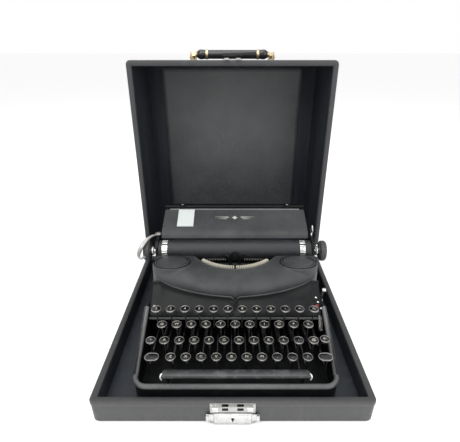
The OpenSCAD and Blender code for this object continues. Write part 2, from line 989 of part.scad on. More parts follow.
module mainspring_drum() {
  color([0.5, 0.5, 0.5])
    on_machine()
      translate([drum_x, drum_y + gap + 4, drum_z])
        rotate([-90, 0, 0])
          difference() {
            cylinder(r = 17, h = 10);
            translate([0, 0, -1]) cylinder(r = 2, h = 12);
            translate([0, 0, 7]) cylinder(r = 12, h = 4);
          }
}

module escapement_wheel() {
  color([0.6, 0.55, 0.35])
    on_machine()
      translate([wheel_x, drum_y + gap + 4, drum_z + 6])
        rotate([-90, 0, 0])
          difference() {
            union() {
              cylinder(r = 11, h = 2);
              for (a = [0 : 18 : 342]) rotate([0, 0, a]) translate([10, -0.8, 0]) cube([3, 1.6, 2]);
            }
            translate([0, 0, -1]) cylinder(r = 2, h = 6);
          }
}

case_tray();
tray_lining();
tray_hinge_leaves();
lock_body();
lock_slider();
case_lid();
lid_panel();
lid_hinge_leaves();
lid_hasp();
handle_brackets();
handle_grip();
handle_links();
rubber_feet();
base_frame();
bottom_pan();
front_apron();
spool_cowl();
spool_cover_left();
spool_cover_right();
ribbon_spool_left();
ribbon_spool_right();
key_guide_comb();
lever_rod();
number_levers();
number_keys();
upper_levers();
upper_keys();
home_levers();
home_keys();
lower_levers();
lower_keys();
centre_lever();
centre_key();
space_bar();
space_bar_arms();
shift_levers();
shift_keys();
shift_lock_key();
backspace_key();
type_segment();
typebars();
centre_typebar();
type_guide();
ribbon_vibrator();
ribbon_selector();
carriage_rail();
carriage_race();
carriage_truck();
platen();
platen_knobs();
feed_rollers();
paper_table();
paper_guide();
margin_rail();
margin_stop_left();
margin_stop_right();
return_lever();
paper_release_lever();
mainspring_drum();
escapement_wheel();
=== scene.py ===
"""Looks of a portable typewriter standing in its open carrying case.

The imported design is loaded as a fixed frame. Each sub-assembly below is a class that holds its
sizes in millimetres, builds its meshes round the design's nodes and dresses them. Every finish
is a small frozen class that builds one procedural material.
"""

import json
import logging
import math
from collections.abc import Callable, Iterable, Sequence
from dataclasses import dataclass, field
from enum import Enum

import bmesh
import bpy
from mathutils import Matrix, Vector

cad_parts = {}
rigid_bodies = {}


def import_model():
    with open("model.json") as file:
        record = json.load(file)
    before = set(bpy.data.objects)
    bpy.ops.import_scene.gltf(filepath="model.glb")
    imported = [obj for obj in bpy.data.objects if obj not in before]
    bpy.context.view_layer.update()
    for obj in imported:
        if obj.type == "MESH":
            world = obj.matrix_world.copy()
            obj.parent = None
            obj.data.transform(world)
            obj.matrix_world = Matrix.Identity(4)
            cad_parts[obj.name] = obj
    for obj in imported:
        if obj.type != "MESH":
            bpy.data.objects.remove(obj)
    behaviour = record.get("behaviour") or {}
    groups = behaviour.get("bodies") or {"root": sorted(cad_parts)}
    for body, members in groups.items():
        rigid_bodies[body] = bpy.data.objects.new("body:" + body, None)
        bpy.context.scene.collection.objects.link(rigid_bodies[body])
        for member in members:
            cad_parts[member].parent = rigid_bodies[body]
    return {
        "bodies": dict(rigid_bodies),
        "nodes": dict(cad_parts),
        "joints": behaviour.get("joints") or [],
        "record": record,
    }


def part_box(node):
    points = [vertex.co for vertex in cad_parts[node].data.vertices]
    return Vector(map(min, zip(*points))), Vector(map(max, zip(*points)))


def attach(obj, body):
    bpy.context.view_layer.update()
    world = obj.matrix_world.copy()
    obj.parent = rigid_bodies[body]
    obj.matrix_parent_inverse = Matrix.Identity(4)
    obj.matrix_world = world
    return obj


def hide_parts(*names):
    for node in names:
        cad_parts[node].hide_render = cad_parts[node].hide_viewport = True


logging.basicConfig(level=logging.INFO, format="%(message)s")
LOG = logging.getLogger("typewriter")

MM = 0.001
Point = tuple[float, float, float]
Flat = tuple[float, float]


# ---------------------------------------------------------------- finishes


class Graph:
    """A thin wrapper that wires one material's nodes with short calls."""

    def __init__(self, name: str) -> None:
        """Starts an empty node tree with an output and Object coordinates.

        Args:
            name: The material's name.
        """
        self.material = bpy.data.materials.new(name)
        self.material.use_nodes = True
        self.tree = self.material.node_tree
        self.tree.nodes.clear()
        self.out = self.tree.nodes.new("ShaderNodeOutputMaterial")
        self.place = self.tree.nodes.new("ShaderNodeTexCoord").outputs["Object"]

    def wire(self, source: object, target: bpy.types.NodeSocket) -> None:
        """Links a socket to a target, or writes a plain value to it."""
        if isinstance(source, bpy.types.NodeSocket):
            self.tree.links.new(source, target)
        else:
            target.default_value = source

    def stretched(self, factors: Point, turn: Point = (0.0, 0.0, 0.0)) -> bpy.types.NodeSocket:
        """Object coordinates scaled along each axis.

        Args:
            factors: Scale along X, Y and Z.
            turn: Rotation in radians, applied with the scale.

        Returns:
            The vector socket.
        """
        node = self.tree.nodes.new("ShaderNodeMapping")
        node.inputs["Scale"].default_value = factors
        node.inputs["Rotation"].default_value = turn
        self.tree.links.new(self.place, node.inputs["Vector"])
        return node.outputs["Vector"]

    def noise(
        self, scale: float, detail: float = 4.0, rough: float = 0.6, vector: object = None
    ) -> bpy.types.NodeSocket:
        """A fractal noise value.

        Args:
            scale: Cells per metre.
            detail: Number of octaves.
            rough: Strength of each finer octave.
            vector: Coordinates, or None for Object coordinates.

        Returns:
            The value socket.
        """
        node = self.tree.nodes.new("ShaderNodeTexNoise")
        node.inputs["Scale"].default_value = scale
        node.inputs["Detail"].default_value = detail
        node.inputs["Roughness"].default_value = rough
        self.wire(vector or self.place, node.inputs["Vector"])
        return node.outputs["Fac"]

    def cells(self, scale: float, feature: str = "F1", vector: object = None) -> bpy.types.NodeSocket:
        """The distance output of a Voronoi pattern.

        Args:
            scale: Cells per metre.
            feature: Which Voronoi distance to use.
            vector: Coordinates, or None for Object coordinates.

        Returns:
            The distance socket.
        """
        node = self.tree.nodes.new("ShaderNodeTexVoronoi")
        node.feature = feature
        node.inputs["Scale"].default_value = scale
        self.wire(vector or self.place, node.inputs["Vector"])
        return node.outputs["Distance"]

    def height(self) -> bpy.types.NodeSocket:
        """The height of the surface in Object coordinates, in metres."""
        node = self.tree.nodes.new("ShaderNodeSeparateXYZ")
        self.wire(self.place, node.inputs[0])
        return node.outputs["Z"]

    def ramp(
        self, value: object, low: float, high: float, a: float = 0.0, b: float = 1.0
    ) -> bpy.types.NodeSocket:
        """Maps a value onto a range, clamped.

        Args:
            value: The socket or number to map.
            low: Value that gives a.
            high: Value that gives b.
            a: Result at low.
            b: Result at high.

        Returns:
            The mapped value's socket.
        """
        node = self.tree.nodes.new("ShaderNodeMapRange")
        for name, number in (("From Min", low), ("From Max", high), ("To Min", a), ("To Max", b)):
            node.inputs[name].default_value = number
        self.wire(value, node.inputs["Value"])
        return node.outputs["Result"]

    def sums(self, kind: str, a: object, b: object) -> bpy.types.NodeSocket:
        """One Math node.

        Args:
            kind: The node's operation.
            a: First operand, a socket or a number.
            b: Second operand.

        Returns:
            The result's socket.
        """
        node = self.tree.nodes.new("ShaderNodeMath")
        node.operation = kind
        self.wire(a, node.inputs[0])
        self.wire(b, node.inputs[1])
        return node.outputs[0]

    def blend(self, factor: object, a: object, b: object) -> bpy.types.NodeSocket:
        """Mixes two colours.

        Args:
            factor: 0 gives a, 1 gives b.
            a: First colour.
            b: Second colour.

        Returns:
            The mixed colour's socket.
        """
        node = self.tree.nodes.new("ShaderNodeMix")
        node.data_type = "RGBA"
        self.wire(factor, node.inputs[0])
        self.wire(a, node.inputs[6])
        self.wire(b, node.inputs[7])
        return node.outputs[2]

    def edges(self, low: float = 0.53, high: float = 0.6) -> bpy.types.NodeSocket:
        """A mask of sharp outer edges, from the mesh's pointiness."""
        node = self.tree.nodes.new("ShaderNodeNewGeometry")
        return self.ramp(node.outputs["Pointiness"], low, high)

    def bump(self, height: object, strength: float, depth: float) -> bpy.types.NodeSocket:
        """A bump normal.

        Args:
            height: The height value.
            strength: Share of the bump that is kept.
            depth: Height of the relief, in metres.

        Returns:
            The normal socket.
        """
        node = self.tree.nodes.new("ShaderNodeBump")
        node.inputs["Strength"].default_value = strength
        node.inputs["Distance"].default_value = depth
        self.wire(height, node.inputs["Height"])
        return node.outputs["Normal"]

    def shader(self, **sockets: object) -> bpy.types.Material:
        """Adds the surface shader with these sockets and returns the material."""
        node = self.tree.nodes.new("ShaderNodeBsdfPrincipled")
        for name, value in sockets.items():
            self.wire(value, node.inputs[name.replace("_", " ")])
        self.tree.links.new(node.outputs[0], self.out.inputs["Surface"])
        return self.material


def colour(rgb: Point) -> tuple[float, float, float, float]:
    """A linear colour with full alpha."""
    return (rgb[0], rgb[1], rgb[2], 1.0)


@dataclass(frozen=True)
class WrinkleEnamel:
    """Baked enamel with a fine crackle, worn pale where hands and edges rub."""

    name: str = "wrinkle_enamel"
    paint: Point = (0.013, 0.0145, 0.0158)
    worn: Point = (0.048, 0.051, 0.052)
    bare: Point = (0.11, 0.112, 0.11)
    crackle: float = 900.0

    def build(self) -> bpy.types.Material:
        """Builds the material."""
        g = Graph(self.name)
        patches = g.ramp(g.noise(22.0, 5.0, 0.65), 0.38, 0.72)
        fine = g.noise(420.0, 3.0, 0.6)
        veins = g.cells(self.crackle, "DISTANCE_TO_EDGE")
        grain = g.sums("ADD", g.ramp(veins, 0.0, 0.35), g.sums("MULTIPLY", fine, 0.7))
        base = g.blend(g.sums("MULTIPLY", patches, 0.55), colour(self.paint), colour(self.worn))
        speck = g.blend(g.ramp(fine, 0.56, 0.72, 0.0, 0.35), base, colour(self.worn))
        bare = g.blend(g.sums("MULTIPLY", g.edges(), 0.5), speck, colour(self.bare))
        rough = g.ramp(g.noise(60.0, 3.0), 0.3, 0.7, 0.42, 0.6)
        return g.shader(
            Base_Color=bare, Roughness=rough, Specular_IOR_Level=0.5,
            Normal=g.bump(grain, 0.55, 0.0004),
        )


@dataclass(frozen=True)
class Leatherette:
    """Grained cloth covering glued over board, scuffed along its edges."""

    name: str = "leatherette"
    cover: Point = (0.02, 0.0215, 0.024)
    dusty: Point = (0.04, 0.043, 0.047)
    scuff: Point = (0.1, 0.1, 0.099)
    grain: float = 650.0

    def build(self) -> bpy.types.Material:
        """Builds the material."""
        g = Graph(self.name)
        pebbles = g.cells(self.grain, "SMOOTH_F1")
        folds = g.noise(180.0, 4.0, 0.7)
        height = g.sums("ADD", g.ramp(pebbles, 0.0, 0.8, 1.0, 0.0), folds)
        rub = g.ramp(g.noise(9.0, 6.0, 0.7), 0.5, 0.78)
        marks = g.ramp(g.noise(38.0, 5.0, 0.75, g.stretched((1.0, 1.0, 0.3))), 0.6, 0.74)
        tone = g.blend(g.sums("MULTIPLY", rub, 0.4), colour(self.cover), colour(self.dusty))
        spots = g.blend(g.sums("MULTIPLY", marks, 0.28), tone, colour(self.scuff))
        worn = g.blend(g.sums("MULTIPLY", g.edges(0.52, 0.58), 0.55), spots, colour(self.scuff))
        return g.shader(
            Base_Color=worn, Roughness=g.ramp(folds, 0.3, 0.7, 0.44, 0.62),
            Normal=g.bump(height, 0.5, 0.0004),
        )


@dataclass(frozen=True)
class LiningPaper:
    """Dark navy lining with the long streaks of a glue brush."""

    name: str = "lining_paper"
    dark: Point = (0.006, 0.0085, 0.0135)
    streak: Point = (0.018, 0.023, 0.031)

    def build(self) -> bpy.types.Material:
        """Builds the material."""
        g = Graph(self.name)
        brush = g.noise(90.0, 5.0, 0.7, g.stretched((1.0, 1.0, 0.05)))
        dust = g.noise(700.0, 2.0)
        tone = g.blend(g.ramp(brush, 0.45, 0.7), colour(self.dark), colour(self.streak))
        return g.shader(
            Base_Color=tone, Roughness=g.ramp(brush, 0.3, 0.7, 0.5, 0.72),
            Normal=g.bump(g.sums("ADD", brush, g.sums("MULTIPLY", dust, 0.4)), 0.4, 0.0003),
        )


@dataclass(frozen=True)
class EmbossedSheet:
    """Pebbled grey board that lines the lid's top, mottled with age, with painted light that makes it paler
    towards its upper edge.
    """

    name: str = "embossed_sheet"
    board: Point = (0.014, 0.016, 0.018)
    pale: Point = (0.1, 0.106, 0.108)

    def build(self) -> bpy.types.Material:
        """Builds the material."""
        g = Graph(self.name)
        pebble = g.cells(330.0, "SMOOTH_F1")
        cloud = g.noise(7.0, 6.0, 0.65)
        speck = g.noise(260.0, 3.0, 0.7)
        # Painted light: the board grows paler with height, as if lit from above; the cloud noise adds
        # random mottle.
        painted_light_and_mottle = g.sums("ADD", g.ramp(g.height(), 0.12, 0.4, 0.0, 0.75), g.ramp(cloud, 0.35, 0.7, 0.0, 0.35))
        tone = g.blend(painted_light_and_mottle, colour(self.board), colour(self.pale))
        spots = g.blend(g.ramp(speck, 0.55, 0.75, 0.0, 0.5), tone, colour((0.1, 0.105, 0.105)))
        return g.shader(
            Base_Color=spots, Roughness=0.62,
            Normal=g.bump(g.sums("ADD", pebble, g.sums("MULTIPLY", speck, 0.6)), 0.6, 0.0006),
        )


@dataclass(frozen=True)
class Metal:
    """Plated or plain metal with tarnish clouds and fine scratches."""

    name: str
    bright: Point
    tarnish: Point
    shine: float = 0.18
    age: float = 0.5
    scratch: Point = (1.0, 1.0, 0.08)

    def build(self) -> bpy.types.Material:
        """Builds the material."""
        g = Graph(self.name)
        cloud = g.ramp(g.noise(120.0, 5.0, 0.7), 0.42, 0.75)
        lines = g.noise(1500.0, 2.0, 0.5, g.stretched(self.scratch))
        tone = g.blend(g.sums("MULTIPLY", cloud, self.age), colour(self.bright), colour(self.tarnish))
        return g.shader(
            Base_Color=tone, Metallic=1.0,
            Roughness=g.ramp(cloud, 0.0, 1.0, self.shine, self.shine + 0.25),
            Normal=g.bump(lines, 0.08, 0.0002),
        )


@dataclass(frozen=True)
class Moulding:
    """Smooth moulded or lacquered surface with dust and faint swirls."""

    name: str
    tone: Point
    dust: Point
    shine: float = 0.2
    cover: float = 0.35
    relief: float = 0.05
    mirror: float = 0.5

    def build(self) -> bpy.types.Material:
        """Builds the material."""
        g = Graph(self.name)
        haze = g.ramp(g.noise(70.0, 6.0, 0.75), 0.48, 0.8)
        swirl = g.noise(900.0, 3.0)
        tone = g.blend(g.sums("MULTIPLY", haze, self.cover), colour(self.tone), colour(self.dust))
        return g.shader(
            Base_Color=tone, Roughness=g.ramp(haze, 0.0, 1.0, self.shine, self.shine + 0.3),
            Specular_IOR_Level=self.mirror, Normal=g.bump(swirl, self.relief, 0.0002),
        )


@dataclass(frozen=True)
class RibbonCloth:
    """Woven ribbon, black with ink."""

    name: str = "ribbon_cloth"
    ink: Point = (0.008, 0.008, 0.01)

    def build(self) -> bpy.types.Material:
        """Builds the material."""
        g = Graph(self.name)
        warp = g.noise(2500.0, 1.0, 0.5, g.stretched((1.0, 1.0, 0.2)))
        weft = g.noise(2500.0, 1.0, 0.5, g.stretched((0.2, 0.2, 1.0)))
        weave = g.sums("MAXIMUM", warp, weft)
        tone = g.blend(g.ramp(weave, 0.5, 0.8), colour(self.ink), colour((0.03, 0.03, 0.034)))
        return g.shader(
            Base_Color=tone, Roughness=0.75, Sheen_Weight=0.2, Normal=g.bump(weave, 0.5, 0.0002)
        )


class Finish(Enum):
    """Every finish on the object."""

    ENAMEL = WrinkleEnamel()
    BEAD = WrinkleEnamel("bead_enamel", (0.04, 0.042, 0.043), (0.11, 0.112, 0.11), (0.2, 0.2, 0.195))
    DARK = Moulding("satin_black", (0.005, 0.0055, 0.006), (0.02, 0.021, 0.022), 0.32, 0.4, 0.05, 0.14)
    BLUED = Metal("blued_steel", (0.1, 0.1, 0.105), (0.05, 0.048, 0.045), 0.36, 0.6)
    NICKEL = Metal("worn_nickel", (0.42, 0.42, 0.41), (0.2, 0.19, 0.17), 0.22, 0.6)
    CASE = Leatherette()
    BINDING = Leatherette(
        "edge_binding", (0.01, 0.0112, 0.013), (0.022, 0.023, 0.025), (0.11, 0.108, 0.1), 900.0
    )
    LINING = LiningPaper()
    SHEET = EmbossedSheet()
    STEEL = Metal("plain_steel", (0.34, 0.335, 0.325), (0.14, 0.125, 0.105), 0.3, 0.6)
    CHROME = Metal("nickel_plate", (0.6, 0.6, 0.595), (0.3, 0.29, 0.27), 0.14, 0.5)
    BRASS = Metal("aged_brass", (0.56, 0.46, 0.28), (0.26, 0.2, 0.11), 0.26, 0.6)
    GLOSS = Moulding("gloss_black", (0.006, 0.006, 0.007), (0.04, 0.04, 0.042), 0.1, 0.25)
    RUBBER = Moulding("black_rubber", (0.02, 0.02, 0.021), (0.07, 0.07, 0.07), 0.55, 0.4, 0.2)
    PLATEN = Moulding("platen_rubber", (0.012, 0.0135, 0.0145), (0.04, 0.042, 0.043), 0.45, 0.5, 0.12, 0.35)
    EBONITE = Moulding("worn_ebonite", (0.035, 0.035, 0.038), (0.12, 0.12, 0.122), 0.45, 0.6)
    # Space bar: pale dust in patches, heavy enough to also paint the light sheen on the bar's top.
    BAR = Moulding("bar_dust_and_painted_sheen", (0.02, 0.021, 0.022), (0.11, 0.112, 0.112), 0.3, 0.8)
    IVORY = Moulding("ivory_legend", (0.42, 0.4, 0.33), (0.24, 0.2, 0.13), 0.4, 0.6)
    PALE = Moulding("pale_lacquer", (0.43, 0.46, 0.45), (0.33, 0.35, 0.34), 0.4, 0.5)
    GOLD = Moulding("gilt_ornament", (0.36, 0.36, 0.33), (0.2, 0.19, 0.16), 0.4, 0.5)
    FELT = RibbonCloth()
    RED = Moulding("red_dot", (0.3, 0.02, 0.015), (0.16, 0.04, 0.03), 0.35, 0.4)


class Palette:
    """Builds each finish once and hands out its material."""

    _made: dict[str, bpy.types.Material] = {}

    @classmethod
    def of(cls, finish: Finish) -> bpy.types.Material:
        """The material of a finish."""
        if finish.name not in cls._made:
            cls._made[finish.name] = finish.value.build()
        return cls._made[finish.name]


SLOT_FINISH: dict[str, Finish] = {
    "case_cover": Finish.CASE,
    "lining": Finish.LINING,
    "lid_sheet": Finish.SHEET,
    "steel": Finish.STEEL,
    "bright_metal": Finish.CHROME,
    "old_brass": Finish.BRASS,
    "grip_plastic": Finish.GLOSS,
    "rubber": Finish.RUBBER,
    "wrinkle_paint": Finish.ENAMEL,
    "dark_paint": Finish.DARK,
    "key_glass": Finish.GLOSS,
    "platen_rubber": Finish.PLATEN,
    "pale_plate": Finish.PALE,
}


NODE_FINISH: dict[str, Finish] = {
    "number_levers": Finish.BLUED,
    "upper_levers": Finish.BLUED,
    "home_levers": Finish.BLUED,
    "lower_levers": Finish.BLUED,
    "centre_lever": Finish.BLUED,
    "shift_levers": Finish.BLUED,
    "space_bar_arms": Finish.BLUED,
    "base_frame": Finish.DARK,
    "key_guide_comb": Finish.DARK,
    "carriage_truck": Finish.DARK,
    "carriage_rail": Finish.DARK,
    "type_segment": Finish.BLUED,
    "lock_body": Finish.NICKEL,
}


# ---------------------------------------------------------------- shaping


def mesh_object(name: str, bm: bmesh.types.BMesh, smooth: bool = True) -> bpy.types.Object:
    """Turns a mesh in millimetres into a linked object in metres.

    Args:
        name: The object's name.
        bm: The mesh; it is freed.
        smooth: True to shade it smooth up to 35 degrees.

    Returns:
        The new object.
    """
    bmesh.ops.remove_doubles(bm, verts=bm.verts[:], dist=0.0005)
    bmesh.ops.recalc_face_normals(bm, faces=bm.faces[:])
    data = bpy.data.meshes.new(name)
    for face in bm.faces:
        face.smooth = smooth
    bm.to_mesh(data)
    bm.free()
    data.transform(Matrix.Scale(MM, 4))
    if smooth:
        data.set_sharp_from_angle(angle=math.radians(35))
    piece = bpy.data.objects.new(name, data)
    bpy.context.scene.collection.objects.link(piece)
    return piece


def bake(piece: bpy.types.Object) -> bpy.types.Object:
    """Applies a piece's modifiers to its mesh.

    Args:
        piece: The object with modifiers.

    Returns:
        The same object, with a plain mesh and no modifiers.
    """
    graph = bpy.context.evaluated_depsgraph_get()
    graph.update()
    data = bpy.data.meshes.new_from_object(piece.evaluated_get(graph))
    piece.modifiers.clear()
    piece.data = data
    return piece


def joined(name: str, pieces: Sequence[bpy.types.Object]) -> bpy.types.Object:
    """Joins objects that share a finish into one.

    Args:
        name: Name of the result.
        pieces: The objects to join; all but the result are removed.

    Returns:
        The joined object.
    """
    with bpy.context.temp_override(active_object=pieces[0], selected_editable_objects=list(pieces)):
        bpy.ops.object.join()
    pieces[0].name = name
    return pieces[0]


def dress(piece: bpy.types.Object, finish: Finish, body: str) -> bpy.types.Object:
    """Gives a piece its finish and lets it ride on a body.

    Args:
        piece: The finished piece.
        finish: Its finish.
        body: The body that it moves with.

    Returns:
        The same piece.
    """
    piece.data.materials.clear()
    piece.data.materials.append(Palette.of(finish))
    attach(piece, body)
    LOG.info("%s rides on %s, %d faces", piece.name, body, len(piece.data.polygons))
    return piece


def ring_points(w: float, d: float, r: float, steps: int = 5) -> list[Flat]:
    """A rounded rectangle's outline, centred, anticlockwise.

    Args:
        w: Width.
        d: Depth.
        r: Corner radius.
        steps: Segments in each corner.

    Returns:
        The points.
    """
    r = max(0.01, min(r, w / 2 - 0.01, d / 2 - 0.01))
    points = []
    for corner, (sx, sy) in enumerate(((1, 1), (-1, 1), (-1, -1), (1, -1))):
        for k in range(steps + 1):
            angle = math.pi / 2 * (corner + k / steps)
            points.append(
                (sx * (w / 2 - r) + r * math.cos(angle), sy * (d / 2 - r) + r * math.sin(angle))
            )
    return points


def loft(bm: bmesh.types.BMesh, loops: Sequence[Sequence[Point]], caps: bool = True) -> None:
    """Skins closed loops of equal length, and caps both ends.

    Args:
        bm: The mesh to add to.
        loops: The loops in order.
        caps: False to leave the ends open.
    """
    rows = [[bm.verts.new(p) for p in loop] for loop in loops]
    count = len(rows[0])
    for low, high in zip(rows, rows[1:]):
        for k in range(count):
            bm.faces.new((low[k], low[(k + 1) % count], high[(k + 1) % count], high[k]))
    if caps:
        bm.faces.new(rows[0][::-1])
        bm.faces.new(rows[-1])


def slab(
    bm: bmesh.types.BMesh, centre: Point, size: Point, r: float = 1.0, edge: float = 0.4
) -> None:
    """A block with rounded upright corners and softened top and bottom edges.

    Args:
        bm: The mesh to add to.
        centre: Centre of the block.
        size: Width, depth and height.
        r: Radius of the upright corners.
        edge: Size of the softened edges.
    """
    w, d, h = size
    edge = min(edge, h / 2.2, w / 2.2, d / 2.2)
    loops = []
    for inset, z in ((edge, -h / 2), (edge * 0.3, -h / 2 + edge * 0.3), (0, -h / 2 + edge),
                     (0, h / 2 - edge), (edge * 0.3, h / 2 - edge * 0.3), (edge, h / 2)):
        flat = ring_points(w - 2 * inset, d - 2 * inset, r - inset * 0.5, 4)
        loops.append([(centre[0] + x, centre[1] + y, centre[2] + z) for x, y in flat])
    loft(bm, loops)


def turned(
    bm: bmesh.types.BMesh, profile: Sequence[Flat], place: Matrix, sides: int = 40
) -> None:
    """Turns a profile of (radius, height) pairs about Z.

    Args:
        bm: The mesh to add to.
        profile: Pairs from one end of the axis to the other.
        place: Where the turned shape goes.
        sides: Number of sides.
    """
    rows = []
    for r, z in profile:
        if r < 1e-6:
            rows.append([bm.verts.new(place @ Vector((0, 0, z)))])
            continue
        rows.append([
            bm.verts.new(place @ Vector((r * math.cos(2 * math.pi * k / sides),
                                         r * math.sin(2 * math.pi * k / sides), z)))
            for k in range(sides)
        ])
    for low, high in zip(rows, rows[1:]):
        for k in range(sides):
            n = (k + 1) % sides
            if len(low) == 1:
                bm.faces.new((low[0], high[n], high[k]))
            elif len(high) == 1:
                bm.faces.new((low[k], low[n], high[0]))
            else:
                bm.faces.new((low[k], low[n], high[n], high[k]))
    for row, flip in ((rows[0], True), (rows[-1], False)):
        if len(row) > 1:
            bm.faces.new(row[::-1] if flip else row)


def curved(points: Sequence[Point], per: int = 8) -> list[Vector]:
    """A smooth curve through the points.

    Args:
        points: The points to pass through.
        per: Steps between two points.

    Returns:
        The curve's points.
    """
    p = [Vector(q) for q in points]
    p = [2 * p[0] - p[1], *p, 2 * p[-1] - p[-2]]
    out = []
    for a, b, c, d in zip(p, p[1:], p[2:], p[3:]):
        for k in range(per):
            t = k / per
            out.append(0.5 * (2 * b + (c - a) * t + (2 * a - 5 * b + 4 * c - d) * t * t
                              + (3 * b - a - 3 * c + d) * t ** 3))
    out.append(p[-2])
    return out


def tube(
    bm: bmesh.types.BMesh, path: Sequence[Vector], radius: Callable[[float], float] | float,
    sides: int = 12, flat: float = 1.0,
) -> None:
    """Sweeps a round or flattened section along a path, with closed ends.

    Args:
        bm: The mesh to add to.
        path: The path's points.
        radius: The radius, or a function of the share of the way along.
        sides: Sides of the section.
        flat: Height of the section as a share of its width.
    """
    path = [Vector(p) for p in path]
    side = None
    loops = []
    for k, p in enumerate(path):
        ahead = (path[min(k + 1, len(path) - 1)] - path[max(k - 1, 0)]).normalized()
        if side is None:
            side = ahead.orthogonal().normalized()
        side = (side - ahead * side.dot(ahead)).normalized()
        up = ahead.cross(side)
        r = radius(k / (len(path) - 1)) if callable(radius) else radius
        loops.append([
            tuple(p + side * (r * math.cos(2 * math.pi * n / sides))
                  + up * (r * flat * math.sin(2 * math.pi * n / sides)))
            for n in range(sides)
        ])
    loft(bm, loops)


def text_mesh(
    bm: bmesh.types.BMesh, words: str, place: Matrix, size: float, thick: float = 0.12
) -> None:
    """Adds generic letters or digits as thin raised shapes.

    Args:
        bm: The mesh to add to.
        words: One or two characters.
        place: Where the centre of the letters goes.
        size: Height of the font.
        thick: Half of the letters' thickness.
    """
    font = bpy.data.curves.new("legend", "FONT")
    font.body = words
    font.size = size
    font.align_x, font.align_y = "CENTER", "CENTER"
    font.extrude = thick
    font.resolution_u = 2
    holder = bpy.data.objects.new("legend", font)
    bpy.context.scene.collection.objects.link(holder)
    graph = bpy.context.evaluated_depsgraph_get()
    data = bpy.data.meshes.new_from_object(holder.evaluated_get(graph))
    data.transform(place)
    bm.from_mesh(data)
    bpy.data.objects.remove(holder)
    bpy.data.meshes.remove(data)
    bpy.data.curves.remove(font)


def array_on_points(
    name: str, master: bpy.types.Object, places: Iterable[tuple[Point, Point]], finish: Finish
) -> bpy.types.Object:
    """Sets copies of one small piece on points with Geometry Nodes, as a plain mesh.

    Args:
        name: Name of the result.
        master: The small piece in metres, about its own origin; it is removed.
        places: Pairs of place in millimetres and Euler turn in radians.
        finish: The finish that the tree sets.

    Returns:
        The realised object.
    """
    places = list(places)
    cloud = bpy.data.meshes.new(name + "_points")
    cloud.from_pydata([tuple(c * MM for c in p) for p, _ in places], [], [])
    turn = cloud.attributes.new("turn", "FLOAT_VECTOR", "POINT")
    turn.data.foreach_set("vector", [c for _, t in places for c in t])
    holder = bpy.data.objects.new(name, cloud)
    bpy.context.scene.collection.objects.link(holder)

    tree = bpy.data.node_groups.new(name + "_array", "GeometryNodeTree")
    sockets = tree.interface
    sockets.new_socket("Points", in_out="INPUT", socket_type="NodeSocketGeometry")
    piece_in = sockets.new_socket("Piece", in_out="INPUT", socket_type="NodeSocketObject")
    size_in = sockets.new_socket("Size", in_out="INPUT", socket_type="NodeSocketFloat")
    stuff_in = sockets.new_socket("Finish", in_out="INPUT", socket_type="NodeSocketMaterial")
    sockets.new_socket("Geometry", in_out="OUTPUT", socket_type="NodeSocketGeometry")
    nodes, link = tree.nodes, tree.links.new
    entry, leave = nodes.new("NodeGroupInput"), nodes.new("NodeGroupOutput")
    info = nodes.new("GeometryNodeObjectInfo")
    info.inputs["As Instance"].default_value = True
    attribute = nodes.new("GeometryNodeInputNamedAttribute")
    attribute.data_type = "FLOAT_VECTOR"
    attribute.inputs["Name"].default_value = "turn"
    placed = nodes.new("GeometryNodeInstanceOnPoints")
    real = nodes.new("GeometryNodeRealizeInstances")
    dressed = nodes.new("GeometryNodeSetMaterial")
    link(entry.outputs["Points"], placed.inputs["Points"])
    link(entry.outputs["Piece"], info.inputs["Object"])
    link(info.outputs["Geometry"], placed.inputs["Instance"])
    link(attribute.outputs["Attribute"], placed.inputs["Rotation"])
    link(entry.outputs["Size"], placed.inputs["Scale"])
    link(placed.outputs["Instances"], real.inputs["Geometry"])
    link(real.outputs["Geometry"], dressed.inputs["Geometry"])
    link(entry.outputs["Finish"], dressed.inputs["Material"])
    link(dressed.outputs["Geometry"], leave.inputs["Geometry"])

    modifier = holder.modifiers.new("array", "NODES")
    modifier.node_group = tree
    modifier[piece_in.identifier] = master
    modifier[size_in.identifier] = 1.0
    modifier[stuff_in.identifier] = Palette.of(finish)
    bake(holder)
    bpy.data.objects.remove(master)
    return holder


def polar(r: float, angle: float) -> Flat:
    """A point at a radius and an angle in degrees."""
    return (r * math.cos(math.radians(angle)), r * math.sin(math.radians(angle)))


UP = Matrix.Identity(4)
TO_FRONT = Matrix.Rotation(math.pi / 2, 4, "X")


def at(x: float, y: float, z: float, turn: Matrix = UP) -> Matrix:
    """A place in millimetres with a turn."""
    return Matrix.Translation((x, y, z)) @ turn


@dataclass
class Frame:
    """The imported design, with a node's box in millimetres."""

    data: dict = field(default_factory=dict)

    def low(self, node: str) -> Vector:
        """Lowest corner of a node in millimetres."""
        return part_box(node)[0] / MM

    def high(self, node: str) -> Vector:
        """Highest corner of a node in millimetres."""
        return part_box(node)[1] / MM

    def middle(self, node: str) -> Vector:
        """Centre of a node in millimetres."""
        return (self.low(node) + self.high(node)) / 2

    def pivot(self, joint: str) -> Vector:
        """A hinge's point in millimetres."""
        for row in self.data["joints"]:
            if row["name"] == joint:
                return Vector(row["pos_m"]) / MM
        raise KeyError(joint)


# ---------------------------------------------------------------- carrying case

HINGE_TURN = math.radians(-92)


